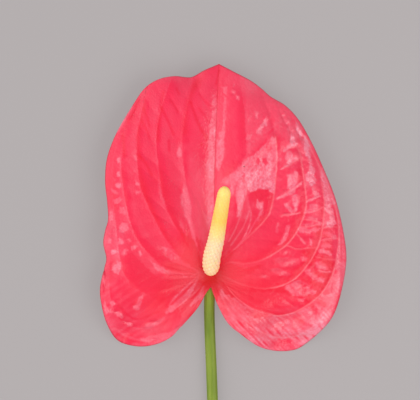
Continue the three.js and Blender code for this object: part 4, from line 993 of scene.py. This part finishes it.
def both(values):
    """A value on the upper net, and on every second line of it for the lower net."""
    return np.concatenate([values.ravel(), values[::2, ::2].ravel()])


# The middle of the sheet. The two halves are blended over the midrib, then facets and wrinkles go in.
x, y, ring = blade_net(BLADE_CELLS)
from_node, from_midrib = np.hypot(x, y), from_curve(x, y, MIDRIB)
midrib_x, midrib_y = np.array(MIDRIB).T
mostly_right = step_up(x - np.interp(y, midrib_y, midrib_x), *HALVES_MEET)
halves = zip(quilt(x, y, ring, LEFT_HALF), quilt(x, y, ring, RIGHT_HALF))
quilted, cord, thin, shade = (left + mostly_right * (right - left) for left, right in halves)
cross = np.max([bell(from_curve(x, y, line), CROSS_WIDTH) for line in CROSS_VEINS], axis=0)
height = blade_form(x, y, ring, from_midrib) + blade_relief(x, y, from_midrib, quilted, cross)
# It settles softly on the table: log(1 + exp(height)) in place of a sharp stop.
height = BLADE_THICKNESS / 2 + SETTLING * np.logaddexp(0, height / SETTLING - 0.5)
height, pressed = crumple(x, y, height)
outer_right = step_up(x, *OUTER_RIGHT)
triangle = bell(np.hypot(x - TRIANGLE_PLACE[0], y - TRIANGLE_PLACE[1]), TRIANGLE_REACH)
wrinkled = np.maximum.reduce([outer_right, triangle, 0.6 * bell(from_midrib, 8),
                              0.5 * step_up(-x, *OUTER_LEFT)])
wrinkled = 0.15 + 0.85 * wrinkled + 0.6 * triangle
for share, (wrinkle_height, *wave) in ((1, WAVES), (wrinkled, WRINKLES), (wrinkled, FINE_WRINKLES)):
    height += share * wrinkle_height * wave_noise(x, y, *wave)
middle = np.stack([x, y, height], -1)

# Two skins, half a thickness to either side, that draw together in a round edge. The lower one takes every
# second line of the net, and triangles join the two rims.
from_edge = (1 - ring) * np.linalg.norm(middle[..., :2] - BLADE_HEART, axis=-1) / np.maximum(ring, 0.1)
rounding = np.sqrt(1 - EDGE_THINNING * np.clip(1 - from_edge / EDGE_ROUNDING, 0, 1) ** 2)
half = BLADE_THICKNESS / 2 * rounding[..., None]
normal = normals_of(middle)
upper, lower = middle + half * normal, (middle - half * normal)[::2, ::2]
lower[..., 2] = np.maximum(lower[..., 2], 0)
count = upper[..., 0].size
points = np.vstack([upper.reshape(-1, 3), lower.reshape(-1, 3)])
faces = net_faces(BLADE_CELLS, False).tolist() + (net_faces(BLADE_CELLS // 2, True) + count).tolist()
upper_rim, lower_rim = rim_of(BLADE_CELLS), rim_of(BLADE_CELLS // 2) + count
lower_next, upper_next, upper_last = np.roll(lower_rim, -1), upper_rim[1::2], np.roll(upper_rim, -2)[::2]
for corners in ((lower_rim, upper_next, upper_rim[::2]), (lower_rim, lower_next, upper_next),
                (lower_next, upper_last, upper_next)):
    faces += np.stack(corners, -1).tolist()

# What is painted on the sheet, each from 0 to 1. The wax is thick on the right and on the facets, and thin
# near the node, on the outer side of each band, under the funnel's deep red and under painted shade.
folds = np.maximum.reduce([bell(from_curve(x, y, line), width) for width, line in HIGHLIGHT_FOLDS])
tone = painted_light_tone(x, y, shade, pressed, folds)
tone = np.clip(break_up(x, y, tone, from_midrib, triangle, outer_right), -1, PALEST)
vein = np.maximum(cord, 0.75 * cross)
# Painted shade along the midrib's crease, and a deep red in the funnel round the node that is partly its own
# colour and partly painted shade.
midrib_crease_shade = bell(from_midrib, MIDRIB_SHADE_WIDTH) * step_up(y, *MIDRIB_LINE_BEGINS)
deep_red_and_shade = np.minimum(np.maximum(1.1 * bell(from_node, FUNNEL_RED_AND_SHADE_REACH), 0.4 * midrib_crease_shade), 1)
# Painted shade: a duller red wherever the tone is below 0.
dip_shade = np.clip(-2.2 * tone, 0, 1)
far_left = step_up(-x, *FAR_LEFT)
glossy = np.maximum(step_up(x, *GLOSSY_RIGHT), 0.5 * far_left)
wax = (0.5 + 0.5 * glossy) * (1 - 0.6 * thin) * (0.4 + 0.6 * step_up(from_node, *WAX_BEGINS))
wax *= (1 - 0.55 * glossy * (1 - step_up(tone, 0.1, 0.5))) * (1 - 0.6 * far_left)
wax = np.maximum(wax, 0.8 * pressed) * (1 - deep_red_and_shade) * (1 - 0.7 * dip_shade)
tone = np.maximum(tone, 0)
# A painted pink sheen lies towards the edge, most at the upper right, and on the left of the spadix.
pink_sheen = 0.3 * step_up(ring, *SHEEN_BEGINS) * step_up(y, -25, 25) * step_up(x, -35, 0)
pink_sheen += 0.4 * step_up(ring, *FAR_SHEEN_BEGINS) * step_up(y, 30, 85) * step_up(x, 4, 24)
spadix_sheen = bell(nearest(x, y, SPADIX_SHEEN)[0], SPADIX_SHEEN_REACH)
painted = dict(
    tone=tone / PALEST, wax=wax, deep_red_and_shade=deep_red_and_shade, dip_shade=dip_shade * (1 - 0.6 * vein),
    pink_sheen=np.maximum(pink_sheen * (1 - 0.7 * tone), 0.75 * spadix_sheen),
    warm=bell(x - WARM_PLACE[0], WARM_REACH[0]) * bell(y - WARM_PLACE[1], WARM_REACH[1]),
    # Painted shade along the edge, where it rolls away.
    edge_shade=0.5 * bell(from_edge, EDGE_SHADE_WIDTH) * (1 - step_up(y - x, 112, 120)),
    # The veins' own paler pink, which on the right half is also painted highlight on the cords.
    pale_vein_and_highlight=0.8 * vein * np.maximum(0.3 * bell(from_node, 30),
                                  step_up(x, -2, 4) * step_up(from_node, *PALE_VEINS_AND_HIGHLIGHT_BEGIN)))

red = Finish("waxy_red", Roughness=0.38, Specular_IOR_Level=0.36, Coat_Roughness=0.14, Coat_IOR=1.5)
colour = red.ramp(red.clouds(28, 3), (0.3, WAXY_RED), (0.7, LIGHT_RED))
colour = red.over(red.painted("warm"), colour, WARM_RED)
# The veins' own paler pink, which on the right half is also painted highlight on the cords.
colour = red.over(red.compute("MULTIPLY", red.painted("pale_vein_and_highlight"), 0.85), colour, VEIN_PINK_AND_HIGHLIGHT)
# The painted highlight is finely mottled, as on a skin of orange peel.
peel = red.node("MapRange", 0, {"Value": red.clouds(750, 2), "From Min": 0.42, "From Max": 0.56,
                                "To Min": 0.8, "To Max": 1.05})
colour = red.over(red.compute("MULTIPLY", red.painted("tone"), peel), colour, HIGHLIGHT_PINK)
# Laid on in turn: a painted pink sheen, then painted shade in the dips, in the funnel and midrib crease, and
# along the edge.
for name, paint in (("pink_sheen", SHEEN_PINK), ("dip_shade", DIP_SHADE_RED), ("deep_red_and_shade", FUNNEL_RED_AND_SHADE), ("edge_shade", EDGE_SHADE_RED)):
    colour = red.over(red.painted(name), colour, paint)
colour = red.over(red.compute("LESS_THAN", red.cells(48), 0.018), colour, BLADE_SPECK)
skin_cells = red.compute("MINIMUM", red.cells(620, "DISTANCE_TO_EDGE"), 0.25)
grained = red.bump(red.compute("MULTIPLY_ADD", skin_cells, 1.6, red.clouds(1300, 3)), 0.45, 0.0002)
red.wear(Base_Color=colour, Coat_Weight=red.painted("wax"), Normal=grained, Coat_Normal=grained)

back = Finish("matt_red_back", Roughness=0.5)
colour = back.ramp(back.clouds(40, 4), (0.3, BACK_RED), (0.7, LIGHT_BACK_RED))
back.wear(Base_Color=back.over(back.painted("pale_vein_and_highlight"), colour, BACK_VEIN),
          Normal=back.bump(back.cells(620, "DISTANCE_TO_EDGE"), 0.4, 0.0001))

spathe = grow("red_spathe", points, faces, [red.material, back.material],
              **{name: both(values) for name, values in painted.items()})
slots = np.zeros(len(spathe.data.polygons), np.int32)
slots[BLADE_CELLS**2:BLADE_CELLS**2 + (BLADE_CELLS // 2) ** 2] = 1
spathe.data.polygons.foreach_set("material_index", slots)
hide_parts("spathe")

# ---- spadix ---------------------------------------------------------------------------------------
# The true flower spike: a fleshy rod packed with tiny four-sided florets, set in two crossing sets of
# spirals. It opens from the base up, where it is cream, and its younger end is still yellow.

SPADIX_LENGTH = 58.0
SPADIX_LEAN = math.radians(41)
SPADIX_HEADING = math.radians(9.5)
SPADIX_FOOT = np.array([-0.4, 1.4, 8.2])
SPADIX_RADIUS, SPADIX_TAPER = 3.95, 1.0
SPADIX_BASE_DOME, SPADIX_TIP_DOME = 6.4, 4.8
SPADIX_BULGE, SPADIX_BOW = 0.25, 0.6   # low on the spike it is a little stouter, and bows to the left
BULGE_RUN, BULGE_REACH = 12.0, 8.5
SPADIX_RINGS, SPADIX_SIDES = 400, 168
FLORET_STEP = 0.034                    # share of the radius that each floret stands beyond the last
FLORET_LEAST_RADIUS = 1.1              # the domes' florets are as large as at this radius, or larger
GOLDEN_TURN = (3 - math.sqrt(5)) / 2
PAD_HEIGHT, OPEN_PAD_MORE = 0.12, 0.1
NUB_HEIGHT, OPEN_NUB_MORE, NUB_WIDTH = 0.03, 0.13, 0.36
FULL_FLORET_RADIUS = 2.5               # on a thinner part of the spike the florets stand out less
OPEN_TO, CLOSED_FROM = 20, 38          # the run up to which florets are open, and from which closed
WARM_CREAM, CREAM = (0.91, 0.65, 0.36, 1), (0.91, 0.69, 0.42, 1)
PALE_YELLOW, DEEP_YELLOW, TIP_YELLOW = (0.94, 0.7, 0.26, 1), (0.94, 0.6, 0.115, 1), (0.97, 0.7, 0.2, 1)
GAP_SHADE = (0.96, 0.9, 0.78, 1)


def spadix_radius(run):
    """Radius over the dips: a taper with the square of the run and a low bulge, times a quarter ellipse at
    each end."""
    def dome(distance, length):
        return np.sqrt(np.maximum(0, 1 - np.maximum(0, 1 - distance / length) ** 2))
    taper = SPADIX_RADIUS - SPADIX_TAPER * (run / SPADIX_LENGTH) ** 2
    taper = taper + SPADIX_BULGE * bell(run - BULGE_RUN, BULGE_REACH)
    return taper * dome(run, SPADIX_BASE_DOME) * dome(SPADIX_LENGTH - run, SPADIX_TIP_DOME)


def spadix_skin():
    """The spike with its florets, on an axis that bows a little to the left. Each floret stands a golden
    turn round and one step up from the last, so any point has two places, one on each set of spirals; the
    distance from the nearest floret along the two makes a blunt pad, with a nub in its middle that stands
    out on the open, lower florets. Gives the points, the run and how far each is from a floret."""
    share = np.linspace(0, 1, SPADIX_RINGS)
    run = SPADIX_LENGTH * (0.5 - 0.5 * np.cos(np.pi * (0.015 + 0.97 * share)))[:, None]
    turn = np.linspace(0, 1, SPADIX_SIDES, endpoint=False)[None, :]
    fine = np.linspace(0, SPADIX_LENGTH, 4000)
    pace = 1 / (FLORET_STEP * np.maximum(spadix_radius(fine), FLORET_LEAST_RADIUS))
    number = np.interp(run, fine, np.r_[0, np.cumsum(pace[1:] * np.diff(fine))])
    offset = number * GOLDEN_TURN - turn
    # A step along the first set is 8 florets and 3 turns on, and along the second 13 florets and 5 turns.
    first, second = 5 * number - 13 * offset, -3 * number + 8 * offset
    a, b = (abs(value - np.round(value)) * 2 for value in (first, second))
    open_share = 1 - step_up(run, OPEN_TO, CLOSED_FROM)
    pad = (1 - np.maximum(a, b) ** 3) * (PAD_HEIGHT + OPEN_PAD_MORE * open_share)
    nub = bell(np.hypot(a, b), NUB_WIDTH) * (NUB_HEIGHT + OPEN_NUB_MORE * open_share)
    radius = spadix_radius(run)
    out = radius + (pad + nub) * np.clip(radius / FULL_FLORET_RADIUS, 0, 1)
    side = np.array([math.cos(SPADIX_HEADING), -math.sin(SPADIX_HEADING), 0])
    flat = np.array([math.sin(SPADIX_HEADING), math.cos(SPADIX_HEADING), 0])
    axis = math.cos(SPADIX_LEAN) * flat + np.array([0, 0, math.sin(SPADIX_LEAN)])
    up = np.cross(side, axis)
    angle = 2 * np.pi * turn[..., None]
    around = np.cos(angle) * side - np.sin(angle) * up
    bow = -SPADIX_BOW * bell(run - BULGE_RUN, BULGE_REACH)
    points = SPADIX_FOOT + run[..., None] * axis + out[..., None] * around + bow[..., None] * side
    return points.reshape(-1, 3), np.broadcast_to(run, out.shape), np.maximum(a, b)


points, run, from_floret = spadix_skin()
faces = tube_faces(SPADIX_RINGS, SPADIX_SIDES)[:, ::-1].tolist()
last_ring = (SPADIX_RINGS - 1) * SPADIX_SIDES
faces += [list(range(SPADIX_SIDES))[::-1], list(range(last_ring, last_ring + SPADIX_SIDES))]

florets = Finish("cream_to_yellow_florets", Roughness=0.5, Subsurface_Weight=0.4,
                 Subsurface_Radius=(1.0, 0.7, 0.3), Subsurface_Scale=0.002)
colour = florets.ramp(florets.compute("DIVIDE", florets.painted("run"), SPADIX_LENGTH), (0, WARM_CREAM),
                      (1, TIP_YELLOW), (0.4, CREAM), (0.52, PALE_YELLOW), (0.66, DEEP_YELLOW))
gap = florets.compute("POWER", florets.painted("gap"), 5)
florets.wear(Base_Color=florets.over(gap, colour, GAP_SHADE, "MULTIPLY"),
             Normal=florets.bump(florets.clouds(2500, 2), 0.2, 0.0001))

spadix = grow("cream_and_yellow_spadix", points, faces, [florets.material], run=run, gap=from_floret)
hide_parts("spadix")

# ---- table ----------------------------------------------------------------------------------------
# A plain pale grey table top that the flower lies on. It glows faintly, as a light table does, so that the
# flower throws only a very soft shadow.

TABLE_SIZE = 6.0               # metres

half_table = TABLE_SIZE / 2
corners = [(x_side * half_table, y_side * half_table, 0)
           for x_side, y_side in ((-1, -1), (1, -1), (1, 1), (-1, 1))]
mesh = bpy.data.meshes.new("table")
mesh.from_pydata(corners, [], [(0, 1, 2, 3)])
grey = Finish("pale_grey_table", Base_Color=(0.15, 0.14, 0.14, 1), Roughness=0.9, Specular_IOR_Level=0.1,
              Emission_Color=(0.46, 0.425, 0.428, 1), Emission_Strength=0.625)
mesh.materials.append(grey.material)
table = bpy.data.objects.new("table", mesh)
bpy.context.scene.collection.objects.link(table)

# ---- light ----------------------------------------------------------------------------------------
# A white studio room that is brighter on the left, a large soft key light to the right of the bloom, towards
# the stem, and a weak soft fill on the left.

ROOM_LEFT, ROOM_REST = (-0.8, 1.5), (0.05, 0.44)       # direction along X, and brightness there
# place from the middle of the view, width, height (metres) and watts
SOFTBOXES = dict(key=((0.78, -0.41, 0.95), 1.5, 1.0, 11.0), fill=((-1.15, -0.1, 0.95), 1.4, 1.1, 3.6))
VIEW_CENTRE = np.array([-0.5, 38.5, 10.0])     # from the node

world = bpy.data.worlds.new("studio")
world.use_nodes = True
nodes, links = world.node_tree.nodes, world.node_tree.links
towards = nodes.new("ShaderNodeTexCoord")
direction = nodes.new("ShaderNodeSeparateXYZ")
fade = nodes.new("ShaderNodeMapRange")
for key, value in zip(("From Min", "To Min", "From Max", "To Max"), ROOM_LEFT + ROOM_REST):
    fade.inputs[key].default_value = value
links.new(towards.outputs["Generated"], direction.inputs[0])
links.new(direction.outputs["X"], fade.inputs["Value"])
links.new(fade.outputs["Result"], nodes["Background"].inputs["Strength"])
nodes["Background"].inputs["Color"].default_value = (1, 1, 1, 1)
bpy.context.scene.world = world

view_centre = Vector((NODE + VIEW_CENTRE) / 1000)
for name, (place, width, height, power) in SOFTBOXES.items():
    lamp = bpy.data.lights.new(name, "AREA")
    lamp.shape, lamp.size, lamp.size_y, lamp.energy = "RECTANGLE", width, height, power
    softbox = bpy.data.objects.new(name, lamp)
    softbox.location = view_centre + Vector(place)
    softbox.rotation_euler = (-Vector(place)).to_track_quat("-Z", "Y").to_euler()
    bpy.context.scene.collection.objects.link(softbox)

# ---- camera ---------------------------------------------------------------------------------------
# It looks straight down on the bloom from a metre away, and sees the upper part of the stem.

VIEW_WIDTH = 210.0             # millimetres seen across the view at its centre
CAMERA_AWAY = 1.0              # metres

camera = bpy.data.objects.new("camera", bpy.data.cameras.new("camera"))
camera.data.lens = camera.data.sensor_width * CAMERA_AWAY * 1000 / VIEW_WIDTH
camera.location = view_centre + Vector((0, 0, CAMERA_AWAY))
bpy.context.scene.collection.objects.link(camera)
bpy.context.scene.camera = camera
bpy.context.scene.view_settings.view_transform = "Standard"
